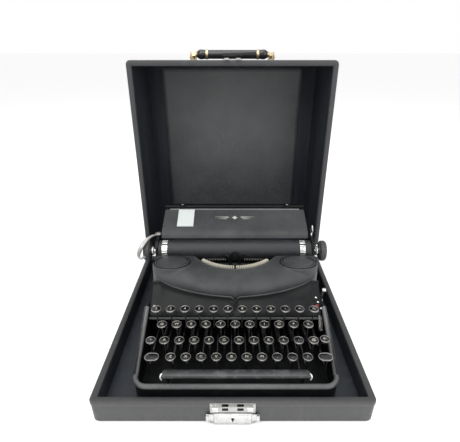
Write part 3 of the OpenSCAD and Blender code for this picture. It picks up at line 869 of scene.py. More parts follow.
@dataclass
class CarryingCase:
    """The tray and the lid of the case, with their linings."""

    frame: Frame
    wall: float = 8.0
    panel: float = 6.0
    corner: float = 7.0
    soft: float = 1.6
    lining: float = 0.5
    sheet_w: float = 270.0

    def shell(self, w: float, d: float, h: float) -> list[list[Point]]:
        """Loops of an open box with rounded edges, its floor at z = 0.

        Args:
            w: Outer width.
            d: Outer depth.
            h: Outer height.

        Returns:
            The loops, from the outside of the floor over the rim to its inside.
        """
        wall, floor, r, e = self.wall, self.panel, self.corner, self.soft
        steps = (
            (e * 2, 0.0, r), (e * 0.6, e * 0.35, r), (0.0, e * 1.5, r), (0.0, h - e, r),
            (e * 0.4, h - e * 0.25, r), (e * 1.1, h, r), (wall - e * 1.1, h, r - wall + 3.2),
            (wall - e * 0.4, h - e * 0.25, r - wall + 3.0), (wall, h - e, r - wall + 3.0),
            (wall, floor, r - wall + 3.0),
        )
        return [
            [(x, y, z) for x, y in ring_points(w - 2 * s, d - 2 * s, max(1.0, q))]
            for s, z, q in steps
        ]

    def open_turn(self) -> Matrix:
        """The turn that carries closed-lid shapes to the open lid."""
        pin = self.frame.pivot("lid_hinge")
        return (
            Matrix.Translation(pin) @ Matrix.Rotation(HINGE_TURN, 4, "X")
            @ Matrix.Translation(-pin)
        )

    def build(self) -> None:
        """Builds and dresses the case's pieces."""
        self.build_tray()
        self.build_lid()

    def build_tray(self) -> None:
        """The tray with its binding and inner lining."""
        low, high = self.frame.low("case_tray"), self.frame.high("case_tray")
        w, d, h = high - low
        bm = bmesh.new()
        loft(bm, self.shell(w, d, h))
        tray = mesh_object("tray_shell", bm)
        dress(tray, Finish.CASE, "chassis")
        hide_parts("case_tray")
        self.line_walls("tray_wall_lining", w, d, self.panel + 1.0, h - 3.0, UP, "chassis")
        self.bind("tray_rim_binding", w, d, h, UP, "chassis")

    def line_walls(
        self, name: str, w: float, d: float, z0: float, z1: float, place: Matrix, body: str
    ) -> None:
        """Thin lining on the four inner walls.

        Args:
            name: The piece's name.
            w: Outer width of the box.
            d: Outer depth of the box.
            z0: Height of the lining's foot.
            z1: Height of the lining's top edge.
            place: Turn of the box.
            body: The body that it rides on.
        """
        bm = bmesh.new()
        inner_w, inner_d = w - 2 * self.wall, d - 2 * self.wall
        r = 2.2
        loops = []
        for s, z in ((0.0, z0), (0.0, z1 + 0.3), (self.lining, z1), (self.lining, z0)):
            flat = ring_points(inner_w - 2 * s, inner_d - 2 * s, r)
            loops.append([tuple(place @ Vector((x, y, z))) for x, y in flat])
        rows = loops + [loops[0]]
        loft(bm, rows, caps=False)
        dress(mesh_object(name, bm), Finish.LINING, body)

    def bind(self, name: str, w: float, d: float, h: float, place: Matrix, body: str) -> None:
        """A worn strip of covering folded over the rim.

        Args:
            name: The piece's name.
            w: Outer width of the box.
            d: Outer depth of the box.
            h: Height of the box's rim.
            place: Where the box stands.
            body: The moving body it rides.
        """
        bm = bmesh.new()
        loops = []
        for s, z in ((-0.25, h - 7.0), (-0.45, h - 6.6), (-0.45, h - 1.2), (0.1, h - 0.2),
                     (1.4, h + 0.3), (self.wall - 1.4, h + 0.3), (self.wall - 0.1, h - 0.2),
                     (self.wall + 0.45, h - 1.2), (self.wall + 0.45, h - 4.6),
                     (self.wall + 0.1, h - 5.0), (self.wall * 0.5, h - 3.0)):
            r = max(1.4, self.corner - max(0.0, s) * 0.6)
            flat = ring_points(w - 2 * s, d - 2 * s, r)
            loops.append([tuple(place @ Vector((x, y, z))) for x, y in flat])
        loft(bm, loops + [loops[0]], caps=False)
        dress(mesh_object(name, bm), Finish.BINDING, body)

    def build_lid(self) -> None:
        """The lid, upside down as a box whose floor is the lid's top."""
        tray_low, tray_high = self.frame.low("case_tray"), self.frame.high("case_tray")
        w, d, rim = tray_high.x - tray_low.x, tray_high.y - tray_low.y, tray_high.z
        back = self.open_turn().inverted()
        corners = [back @ (v.co / MM) for v in self.frame.data["nodes"]["case_lid"].data.vertices]
        top = max(c.z for c in corners)
        h = top - rim - 0.5
        turn = self.open_turn() @ Matrix.Translation((0, 0, top)) @ Matrix.Rotation(math.pi, 4, "X")
        bm = bmesh.new()
        loft(bm, [[tuple(turn @ Vector(p)) for p in loop] for loop in self.shell(w, d, h)])
        lid = mesh_object("lid_shell", bm)
        dress(lid, Finish.CASE, "lid")
        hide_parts("case_lid")
        self.line_walls("lid_wall_lining", w, d, self.panel + 0.2, h - 4.5, turn, "lid")
        self.bind("lid_rim_binding", w, d, h - 0.4, turn, "lid")
        self.build_sheet(turn, d)
        self.build_floor(turn, w, d)

    def build_floor(self, turn: Matrix, w: float, d: float) -> None:
        """Dark lining paper that shows round the embossed sheet."""
        bm = bmesh.new()
        slab(bm, (0, 0, self.panel + 0.3), (w - 2 * self.wall - 1, d - 2 * self.wall - 1, 0.5), 2.4, 0.1)
        bmesh.ops.transform(bm, matrix=turn, verts=bm.verts[:])
        dress(mesh_object("lid_top_lining", bm), Finish.LINING, "lid")

    def build_sheet(self, turn: Matrix, d: float) -> None:
        """The embossed sheet inside the lid's top, slightly bowed.

        Args:
            turn: From the box upside down to the open lid.
            d: Outer depth of the lid.
        """
        depth = d - 2 * self.wall - 8
        across, along = 36, 44
        bm = bmesh.new()
        rows = []
        for j in range(along + 1):
            y = -depth / 2 + depth * j / along
            row = []
            for i in range(across + 1):
                x = -self.sheet_w / 2 + self.sheet_w * i / across
                u, v = abs(2 * x / self.sheet_w), abs(2 * y / depth)
                bow = 0.5 * (1 - u ** 4) * (1 - v ** 4)
                row.append(bm.verts.new((x, y, self.panel + 1.3 + bow)))
            rows.append(row)
        for a, b in zip(rows, rows[1:]):
            for k in range(across):
                bm.faces.new((a[k], a[k + 1], b[k + 1], b[k]))
        bmesh.ops.transform(bm, matrix=turn, verts=bm.verts[:])
        sheet = mesh_object("lid_embossed_sheet", bm)
        sheet.modifiers.new("thick", "SOLIDIFY").thickness = -0.0009
        bake(sheet)
        dress(sheet, Finish.SHEET, "lid")
        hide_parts("lid_panel")


@dataclass
class CarryHandle:
    """The folded grip on the lid's front wall with its brass bands and posts."""

    frame: Frame
    grip_half: float = 59.0
    grip_r: float = 7.4
    bow: float = 2.0
    band_x: float = 42.0

    def build(self) -> None:
        """Builds the grip, its bands and ferrules, and the tall posts."""
        low, high = self.frame.low("handle_grip"), self.frame.high("handle_grip")
        mid = (low + high) / 2
        path = []
        for k in range(49):
            t = -1 + 2 * k / 48
            path.append(Vector((mid.x + t * self.grip_half, mid.y - self.bow * (0.4 - t * t), mid.z)))
        bm = bmesh.new()
        tube(bm, path, self.grip_width, 28)
        grip = mesh_object("folded_grip", bm)
        dress(grip, Finish.GLOSS, "handle")
        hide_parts("handle_grip")
        bm = bmesh.new()
        for s in (-1, 1):
            turn = Matrix.Rotation(s * math.pi / 2, 4, "Y")
            end = at(mid.x + s * (self.grip_half - 1.0), mid.y + self.bow * 0.55, mid.z, turn)
            turned(bm, ((0, 0), (4.6, 0), (4.9, 0.6), (4.6, 1.5), (3.4, 2.2), (3.0, 4.4), (0, 4.4)),
                   end, 28)
            band = at(mid.x + s * self.band_x, mid.y + self.bow * 0.1, mid.z, turn)
            turned(bm, ((6.0, -2.1), (7.1, -1.9), (7.3, -1.3), (7.3, 1.3), (7.1, 1.9), (6.0, 2.1)),
                   band, 28)
        dress(mesh_object("grip_bands", bm), Finish.BRASS, "handle")
        self.build_posts()

    def build_posts(self) -> None:
        """Brass side posts of the handle brackets, standing on the lid."""
        low, high = self.frame.low("handle_brackets"), self.frame.high("handle_brackets")
        pin = self.frame.pivot("handle_fold")
        bm = bmesh.new()
        for x, s in ((low.x, -1), (high.x, 1)):
            slab(bm, (x + s * 0.6, pin.y, (low.z + pin.z) / 2 + 3.6), (1.6, 7.4, 15.0), 1.2, 0.5)
            turned(bm, ((0, 0), (3.0, 0), (2.8, 0.9), (1.6, 1.5), (0, 1.6)),
                   at(x + s * 1.2, pin.y, pin.z, Matrix.Rotation(s * math.pi / 2, 4, "Y")), 20)
        dress(mesh_object("handle_posts", bm), Finish.BRASS, "lid")

    def grip_width(self, t: float) -> float:
        """Radius of the grip along its length, from 0 to 1."""
        u = abs(2 * t - 1)
        swell = 0.1 * math.exp(-(((u - 0.87) / 0.08) ** 2))
        return self.grip_r * (0.9 + swell) * (1 - max(0.0, (u - 0.9) / 0.1) ** 2 * 0.45)


@dataclass
class CaseHardware:
    """Rivets, screws and beads on the lock, the hasp and the hinges."""

    frame: Frame

    def build(self) -> None:
        """Builds the small fittings."""
        self.build_lock()
        self.build_hasp_screws()
        self.build_hinge_screws()

    def rivet(self, r: float, h: float) -> bpy.types.Object:
        """A domed rivet head about the origin, its dome along +Z, in metres."""
        bm = bmesh.new()
        turned(bm, ((0, -0.2), (r, -0.2), (r, 0.15), (r * 0.86, h * 0.6), (r * 0.5, h * 0.93), (0, h)),
               UP, 14)
        return mesh_object("rivet", bm)

    def screw(self, r: float, h: float) -> bpy.types.Object:
        """A cheese-head screw with a slot, its head along +Z.

        Args:
            r: Radius of the head.
            h: Height of the head.

        Returns:
            The screw, for copies on points.
        """
        bm = bmesh.new()
        turned(bm, ((0, -0.3), (r, -0.3), (r, h * 0.7), (r * 0.86, h), (r * 0.2, h), (0, h)), UP, 16)
        slot = bmesh.new()
        slab(slot, (0, 0, h), (2.4 * r, r * 0.28, h * 0.9), 0.02, 0.01)
        head, cut = mesh_object("screw", bm), mesh_object("screw_slot", slot)
        cutter = head.modifiers.new("slot", "BOOLEAN")
        cutter.object, cutter.solver = cut, "EXACT"
        bake(head)
        bpy.data.objects.remove(cut)
        return head

    def build_lock(self) -> None:
        """Raised border, a dark keyhole and slots as painted shade of the holes, and rivets on the lock's
        face.
        """
        low, high = self.frame.low("lock_body"), self.frame.high("lock_body")
        face = low.y
        mid_x = (low.x + high.x) / 2
        bm = bmesh.new()
        slab(bm, (mid_x, face + 0.05, 12.0), (44.0, 0.9, 17.4), 0.3, 0.25)
        slab(bm, (mid_x, face - 0.5, 12.0), (38.0, 0.9, 12.0), 0.3, 0.25)
        for s in (-1, 1):
            slab(bm, (mid_x + s * 20.5, face - 0.1, 27.5), (7.4, 1.2, 7.0), 0.4, 0.3)
        dress(mesh_object("lock_face_plate", bm), Finish.CHROME, "chassis")
        # Satin-black keyhole disc and slot, and two slots above: painted shade of the holes in the lock.
        bm = bmesh.new()
        hole = at(mid_x, face - 0.75, 12.0, TO_FRONT)
        turned(bm, ((0, 0), (1.9, 0), (1.9, 0.5), (0, 0.5)), hole, 20)
        slab(bm, (mid_x, face - 1.0, 9.6), (1.5, 0.5, 4.0), 0.1, 0.05)
        for s in (-1, 1):
            slab(bm, (mid_x + s * 9.0, face - 0.1, 28.0), (7.4, 0.6, 3.6), 0.1, 0.05)
        dress(mesh_object("lock_keyhole", bm), Finish.DARK, "chassis")
        spots = [((mid_x + sx * 16.0, face - 0.9, 12.0), (math.pi / 2, 0, 0)) for sx in (-1, 1)]
        spots += [((mid_x + sx * 24.6, face + 2.6, z), (math.pi / 2, 0, 0))
                  for sx in (-1, 1) for z in (4.6, 31.0)]
        rivets = array_on_points("lock_rivets", self.rivet(1.5, 0.9), spots, Finish.CHROME)
        dress(rivets, Finish.CHROME, "chassis")

    def build_hasp_screws(self) -> None:
        """Two screws that hold the hasp on the lid, and four in the handle's brackets."""
        case = CarryingCase(self.frame)
        turn = case.open_turn()
        low = self.frame.low("case_tray")
        flat = (turn.to_3x3() @ Matrix.Rotation(math.pi / 2, 3, "X")).to_euler()
        face = low.y - 1.6
        spots = [(tuple(turn @ Vector((x, face, 48.0))), tuple(flat)) for x in (-6.0, 6.0)]
        spots += [(tuple(turn @ Vector((sx * 65.0, face + 0.1, z))), tuple(flat))
                  for sx in (-1, 1) for z in (79.0, 91.0)]
        screws = array_on_points("lid_fitting_screws", self.screw(1.7, 0.7), spots, Finish.BRASS)
        dress(screws, Finish.BRASS, "lid")

    def build_hinge_screws(self) -> None:
        """Screws in the tray's hinge leaves."""
        low, high = self.frame.low("tray_hinge_leaves"), self.frame.high("tray_hinge_leaves")
        back = self.frame.high("case_tray").y + 1.2
        spots = [((sx * 110.0 + k * 15.3, back, z), (-math.pi / 2, 0, 0.3 * k))
                 for sx in (-1, 1) for k in (-1, 1) for z in (17.0, 26.0)]
        screws = array_on_points("hinge_screws", self.screw(1.6, 0.7), spots, Finish.STEEL)
        dress(screws, Finish.STEEL, "chassis")
        LOG.info("hinge leaves reach from %.0f to %.0f mm", low.x, high.x)


# ---------------------------------------------------------------- keyboard

# The upper row's key that has a body of its own, counted from the left
CENTRE_KEY = 5

ROWS: dict[str, tuple[str, str]] = {
    "number": ("number_row", "234567890-=½"),
    "upper": ("upper_row", "QWERTYUIOP¼"),
    "home": ("home_row", "ASDFGHJKL;@"),
    "lower": ("lower_row", "ZXCVBNM,./"),
}


@dataclass
class Keyboard:
    """Round glass-topped keys in bright rings, the wide keys and the space bar."""

    frame: Frame
    pitch: float = 19.05
    ring_r: float = 6.55

    def build(self) -> None:
        """Builds every key top and the space bar."""
        for row, (body, legends) in ROWS.items():
            self.build_row(row, body, legends)
        self.build_centre()
        self.build_shift_keys()
        for node, body, mark in (("shift_lock_key", "shift_lock", "•"),
                                 ("backspace_key", "backspace", "←")):
            self.build_single(node, body, mark)
        self.build_space_bar()

    def ring(self, name: str, r: float) -> bpy.types.Object:
        """The bright ring with its cup, about the top's centre.

        Args:
            name: The ring's name.
            r: Outer radius.

        Returns:
            The ring, for copies on points.
        """
        bm = bmesh.new()
        turned(bm, ((0, -3.2), (r * 0.42, -3.2), (r * 0.7, -3.0), (r * 0.88, -2.3), (r, -1.7),
                    (r, -0.5), (r * 0.98, -0.12), (r * 0.945, 0.0), (r * 0.9, -0.1),
                    (r * 0.88, -0.42), (r * 0.87, -0.6), (0, -0.6)), UP, 26)
        return mesh_object(name, bm)

    def glass(self, bm: bmesh.types.BMesh, top: Point, r: float) -> None:
        """A low black dome inside the ring."""
        turned(bm, ((r * 0.875, -0.62), (r * 0.875, -0.4), (r * 0.76, -0.24), (r * 0.5, -0.1),
                    (r * 0.25, -0.03), (0, 0.0)), at(*top), 26)

    def centres(self, node: str, count: int, pitch: float) -> list[Point]:
        """Top centres of a row of keys, from its node's box."""
        low, high = self.frame.low(node), self.frame.high(node)
        r = (high.y - low.y) / 2
        return [(low.x + r + pitch * k, low.y + r, high.z) for k in range(count)]

    def dressed_keys(
        self, name: str, nodes: Sequence[str], body: str, tops: Sequence[Point],
        legends: Sequence[str],
    ) -> None:
        """Rings, glasses and legends of a group of round keys.

        Args:
            name: The group's name.
            nodes: The design's nodes that the rings stand for.
            body: The body that they ride on.
            tops: Centres of the keys' tops.
            legends: One legend for each key.
        """
        rings = array_on_points(name + "_rings", self.ring("ring", self.ring_r),
                                [(t, (0, 0, 0)) for t in tops], Finish.STEEL)
        dress(rings, Finish.STEEL, body)
        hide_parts(*nodes)
        bm = bmesh.new()
        for top in tops:
            self.glass(bm, top, self.ring_r)
        dress(mesh_object(name + "_glasses", bm), Finish.GLOSS, body)
        bm = bmesh.new()
        for top, legend in zip(tops, legends):
            text_mesh(bm, legend, at(*top), 5.6)
        dress(mesh_object(name + "_legends", bm, smooth=False), Finish.IVORY, body)

    def build_row(self, row: str, body: str, legends: str) -> None:
        """One row of keys.

        Args:
            row: The row's name, as its node has it.
            body: The moving body of the row.
            legends: One letter or digit for each key, from the left.
        """
        node = row + "_keys"
        tops = self.centres(node, len(legends), self.pitch)
        pairs = list(zip(tops, legends))
        if row == "upper":
            pairs.pop(CENTRE_KEY)
        self.dressed_keys(row, [node], body, [p for p, _ in pairs], [c for _, c in pairs])

    def build_centre(self) -> None:
        """The middle key of the upper row, which works the centre typebar."""
        mid, high = self.frame.middle("centre_key"), self.frame.high("centre_key")
        self.dressed_keys("centre", ["centre_key"], "centre_letter",
                          [(mid.x, mid.y, high.z)], ["Y"])

    def build_single(self, node: str, body: str, mark: str) -> None:
        """A round key at the keyboard's edge, as a plain cap over its stem.

        Args:
            node: The key's design node.
            body: The moving body it rides.
            mark: The legend on its cap.
        """
        low, high = self.frame.low(node), self.frame.high(node)
        if node == "shift_lock_key":
            top = (low.x + 6.0, low.y + 6.0, high.z)
        else:
            top = (high.x - 6.2, low.y + 6.2, high.z)
        ring = array_on_points(node + "_ring", self.ring("ring", 6.3),
                               [((top[0], top[1], top[2] + 0.25), (0, 0, 0))], Finish.STEEL)
        dress(ring, Finish.STEEL, body)
        bm = bmesh.new()
        self.glass(bm, (top[0], top[1], top[2] + 0.25), 6.3)
        dress(mesh_object(node + "_glass", bm), Finish.GLOSS, body)
        bm = bmesh.new()
        text_mesh(bm, mark, at(top[0], top[1], top[2] + 0.3), 6.0)
        dress(mesh_object(node + "_mark", bm, smooth=False), Finish.IVORY, body)

    def oval(self, w: float, d: float, steps: int = 9) -> list[Flat]:
        """Outline of a key with half-round ends."""
        return ring_points(w, d, d / 2, steps)

    def build_shift_keys(self) -> None:
        """The two wide keys, gloss black tops in bright rims."""
        low, high = self.frame.low("shift_keys"), self.frame.high("shift_keys")
        w, d = 18.2, high.y - low.y
        y = (low.y + high.y) / 2
        rims, tops = bmesh.new(), bmesh.new()
        for x in (low.x + w / 2, high.x - w / 2):
            for bm, steps in ((rims, ((3.4, -3.3), (0.4, -2.6), (0.0, -1.8), (0.0, -0.5), (0.4, 0.0),
                                      (1.0, -0.1), (1.3, -0.7))),
                              (tops, ((1.25, -0.8), (1.25, -0.45), (2.2, -0.2), (3.6, -0.05)))):
                loft(bm, [[(x + p, y + q, high.z + z) for p, q in self.oval(w - 2 * s, d - 2 * s)]
                          for s, z in steps])
        rim = mesh_object("shift_key_rims", rims)
        dress(rim, Finish.STEEL, "shift")
        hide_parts("shift_keys")
        dress(mesh_object("shift_key_tops", tops), Finish.GLOSS, "shift")

    def build_space_bar(self) -> None:
        """The space bar: a crowned bar with bright bent ends."""
        low, high = self.frame.low("space_bar"), self.frame.high("space_bar")
        mid = (low + high) / 2
        w, d = high.x - low.x, high.y - low.y
        bm = bmesh.new()
        steps = ((1.2, -5.0), (0.2, -4.4), (0.0, -3.2), (0.15, -1.4), (0.9, -0.35), (2.2, 0.0),
                 (4.4, 0.3))
        loft(bm, [[(mid.x + p, mid.y + q, high.z - 0.3 + z) for p, q in
                   ring_points(w - 2 * s - 6, d - 2 * s, 3.4, 6)] for s, z in steps])
        bar = mesh_object("space_bar_top", bm)
        # The bar's pale dusty finish is partly painted sheen of its lit top.
        dress(bar, Finish.BAR, "space")
        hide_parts("space_bar")
        bm = bmesh.new()
        for s in (-1, 1):
            path = curved([(mid.x + s * (w / 2 - 9), mid.y + 0.5, high.z - 1.9),
                           (mid.x + s * (w / 2 - 3.4), mid.y - 0.5, high.z - 2.4),
                           (mid.x + s * (w / 2 - 1.6), mid.y - 3.0, high.z - 5.0),
                           (mid.x + s * (w / 2 - 2.6), mid.y - 4.4, high.z - 8.0)], 6)
            tube(bm, path, 1.7, 12)
        dress(mesh_object("space_bar_ends", bm), Finish.CHROME, "space")


# ---------------------------------------------------------------- frame and cowl


@dataclass
class Cowl:
    """The bulging hood over the type basket, with its two spool towers."""

    frame: Frame
    half: float = 123.5
    front: float = -41.0
    back: float = 38.0
    side_y: float = 8.0
    base: float = 80.0
    crown: float = 113.0
    rise: float = 5.5
    opening: float = 73.0
    fan_y: float = 70.0
    lean: float = 10.0
    tower_r: float = 29.0
    well_r: float = 26.0
    shell: float = 2.4

    def mid(self) -> float:
        """The machine's middle in X."""
        return self.frame.middle("lever_rod").x

    def ease(self, t: float) -> float:
        """A smooth step from 0 to 1."""
        t = min(1.0, max(0.0, t))
        return t * t * (3 - 2 * t)

    def front_y(self, x: float) -> float:
        """Where the hood's lower front edge stands at x from the middle."""
        u = min(1.0, abs(x) / self.half)
        return self.side_y - (self.side_y - self.front) * (1 - u ** 3) ** 0.4545

    def edge_z(self, x: float) -> float:
        """Height of the lower front edge, which dips to a point in the middle."""
        u = abs(x) / 94.0
        return 91.0 + 13.0 * u ** 1.5 - 5.0 * math.exp(-((x / 3.4) ** 2))

    def top_z(self, x: float, y: float) -> float:
        """Height of the hood's top."""
        side = self.ease((abs(x) - 38.0) / 38.0)
        tilt = math.tan(math.radians(self.lean)) * (y - self.side_y)
        return self.crown + self.rise * side - tilt * side

    def section(self, x: float, inset: float) -> list[Point]:
        """One closed cross-section in the Y-Z plane.

        Args:
            x: Distance from the machine's middle.
            inset: How far the section is shrunk, for the inside.

        Returns:
            The section's points.
        """
        reach = self.front_y(x) + inset
        edge = self.edge_z(x)
        crest = min(self.back - 4, reach + (46.0 - 18.0 * self.ease((abs(x) - 30) / 60)))
        top = self.top_z(x, crest) - inset
        base = self.base - (6.0 if inset else 0.0)
        back = self.back + (4.0 if inset else 0.0)
        points = [(back, base), (back, 0.5 * (base + top)), (back, self.top_z(x, self.back) - inset)]
        for k in range(1, 6):
            y = back + (crest - back) * k / 6
            points.append((y, self.top_z(x, y) - inset))
        for k in range(13):
            a = math.pi / 2 * k / 12
            y = crest - (crest - reach) * math.sin(a) ** 0.86
            z = edge + (top - edge) * math.cos(a) ** 0.8
            points.append((y, z))
        points += [(reach + 1.6, edge - 2.5), (reach + 4.0, edge - 5.0), (reach + 5.0, base)]
        return [(self.mid() + x, y, z) for y, z in points]

    def belly(self, name: str, inset: float) -> bpy.types.Object:
        """The hood's lofted form, whole or shrunk.

        Args:
            name: The object's name.
            inset: How far it is shrunk.

        Returns:
            The closed form.
        """
        half = self.half - inset
        stations = [half * math.sin(math.pi / 2 * k / 30) for k in range(-30, 31)]
        bm = bmesh.new()
        loft(bm, [self.section(x, inset) for x in stations])
        return mesh_object(name, bm)

    def tower_axis(self, side: int) -> Matrix:
        """Place of a spool tower's top centre, with its backward lean.

        Args:
            side: -1 for the left tower, 1 for the right one.

        Returns:
            The place as a matrix, its Z along the tower.
        """
        low, high = self.frame.low("spool_cover_left"), self.frame.high("spool_cover_left")
        if side > 0:
            low, high = self.frame.low("spool_cover_right"), self.frame.high("spool_cover_right")
        pin = self.frame.pivot("spool_left_turn" if side < 0 else "spool_right_turn")
        LOG.info("spool tower at %.0f, cover %.0f mm across", pin.x, high.x - low.x)
        return at(pin.x, pin.y, pin.z, Matrix.Rotation(math.radians(-self.lean), 4, "X"))

    def column(self, name: str, side: int, r: float, low: float, high: float) -> bpy.types.Object:
        """A leaning cylinder on a tower's axis."""
        bm = bmesh.new()
        turned(bm, ((0, low), (r, low), (r, high), (0, high)), self.tower_axis(side), 72)
        return mesh_object(name, bm)

    def cut(self, piece: bpy.types.Object, cutter: bpy.types.Object) -> None:
        """Subtracts the cutter from the piece and removes it."""
        tool = piece.modifiers.new("cut", "BOOLEAN")
        tool.object, tool.solver, tool.operation = cutter, "MANIFOLD", "DIFFERENCE"
        bake(piece)
        bpy.data.objects.remove(cutter)

    def build(self) -> None:
        """Builds the hood, its rims, its brace-shaped rib and the covers."""
        parts = [self.belly("cowl", 0.0)]
        parts += [self.column("tower", s, self.tower_r, -34.0, -0.2) for s in (-1, 1)]
        hood = joined("cowl_hood", parts)
        grid = hood.modifiers.new("grid", "REMESH")
        grid.mode, grid.voxel_size, grid.use_smooth_shade = "VOXEL", 0.0014, True
        soft = hood.modifiers.new("soft", "SMOOTH")
        soft.factor, soft.iterations = 0.5, 7
        bake(hood)
        self.cut(hood, self.belly("inside", self.shell))
        bm = bmesh.new()
        turned(bm, ((0, 60), (self.opening, 60), (self.opening, 150), (0, 150)),
               at(self.mid(), self.fan_y, 0), 200)
        self.cut(hood, mesh_object("basket_opening", bm))
        for s in (-1, 1):
            self.cut(hood, self.column("well", s, self.well_r, -40.0, 8.0))
        hood.data.set_sharp_from_angle(angle=math.radians(40))
        dress(hood, Finish.ENAMEL, "chassis")
        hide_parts("spool_cowl")
        self.build_rib()
        self.build_apron()
        self.build_opening_rim()
        self.build_covers()

    def build_rib(self) -> None:
        """The raised rib along the hood's lower front edge, with its pointed middle."""
        path = []
        for k in range(-58, 59):
            x = 116.0 * k / 58
            path.append(Vector((self.mid() + x, self.front_y(x) - 0.2, self.edge_z(x) - 0.6)))
        for k in range(-4, 5):
            path[58 + k].z -= 0.5 * (4 - abs(k))
        bm = bmesh.new()
        tube(bm, path, lambda t: 1.25 - 0.8 * abs(2 * t - 1) ** 6, 10)
        dress(mesh_object("cowl_brace_rib", bm), Finish.ENAMEL, "chassis")

    def build_apron(self) -> None:
        """The dark sheet that curves from the cowl's front edge down to the keys."""
        low, high = self.frame.low("front_apron"), self.frame.high("front_apron")
        half = (high.x - low.x) / 2
        bm = bmesh.new()
        rows = []
        for j in range(13):
            t = j / 12
            row = []
            for k in range(81):
                x = half * (-1 + 2 * k / 80)
                edge = min(abs(x), 108.0)
                y = low.y + (self.front_y(edge) - low.y + 1.0) * self.ease(t) ** 0.8
                z = low.z + (self.edge_z(edge) - 3.0 - low.z) * t ** 0.9
                row.append(bm.verts.new((self.mid() + x, y, z)))
            rows.append(row)
        for a, b in zip(rows, rows[1:]):
            for k in range(80):
                bm.faces.new((a[k], a[k + 1], b[k + 1], b[k]))
        sheet = mesh_object("apron_sheet", bm)
        skin = sheet.modifiers.new("skin", "SOLIDIFY")
        skin.thickness, skin.offset = 0.0012, -1.0
        bake(sheet)
        dress(sheet, Finish.DARK, "chassis")
        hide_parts("front_apron")
        bm = bmesh.new()
        slab(bm, (self.mid(), low.y - 0.4, low.z - 0.2), (2 * half, 1.6, 3.0), 0.4, 0.3)
        dress(mesh_object("key_row_ledge", bm), Finish.BEAD, "chassis")

    def build_opening_rim(self) -> None:
        """A thin rolled rim along the crescent opening."""
        path = []
        for k in range(61):
            a = math.radians(270 - 58 + 116 * k / 60)
            x, y = (self.opening + 0.6) * math.cos(a), self.fan_y + (self.opening + 0.6) * math.sin(a)
            if y < self.back - 1:
                path.append(Vector((self.mid() + x, y, self.top_z(x, y) - 0.6)))
        bm = bmesh.new()
        tube(bm, path, 1.1, 10)
        dress(mesh_object("cowl_opening_rim", bm), Finish.ENAMEL, "chassis")

    def build_covers(self) -> None:
        """Collars of the towers and the lift-off spool covers; the collars and the rings in the covers'
        grooves are satin black as painted shade.
        """
        for s, name in ((-1, "left"), (1, "right")):
            axis = self.tower_axis(s)
            # Satin-black collar: painted shade of the groove between each cover and its well.
            bm = bmesh.new()
            r = self.well_r
            turned(bm, ((r + 0.1, -3.0), (r + 1.5, -1.6), (r + 1.7, 0.0), (r + 1.3, 0.5),
                        (r + 0.7, 0.5), (r + 0.15, -0.3), (r + 0.1, -3.0)), axis, 72)
            dress(mesh_object(f"tower_collar_{name}", bm), Finish.DARK, "chassis")
            bm = bmesh.new()
            turned(bm, ((0, -2.5), (24.4, -2.5), (24.5, -0.6), (25.3, -0.5), (25.4, 0.3),
                        (25.0, 0.9), (24.2, 1.05), (23.4, 0.5), (22.9, 0.45), (22.3, 1.1),
                        (21.0, 1.5), (14.0, 1.95), (6.0, 2.15), (2.6, 2.2), (2.3, 1.7), (0, 1.7)),
                   axis, 72)
            cover = mesh_object(f"spool_lid_{name}", bm)
            dress(cover, Finish.ENAMEL, f"cover_{name}")
            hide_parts(f"spool_cover_{name}")
            # Satin-black ring filling the cover's groove: painted shade in the groove.
            bm = bmesh.new()
            turned(bm, ((24.3, 0.55), (24.2, 1.0), (22.6, 1.0), (22.5, 0.55), (24.3, 0.55)), axis, 72)
            dress(mesh_object(f"cover_groove_{name}", bm), Finish.DARK, f"cover_{name}")


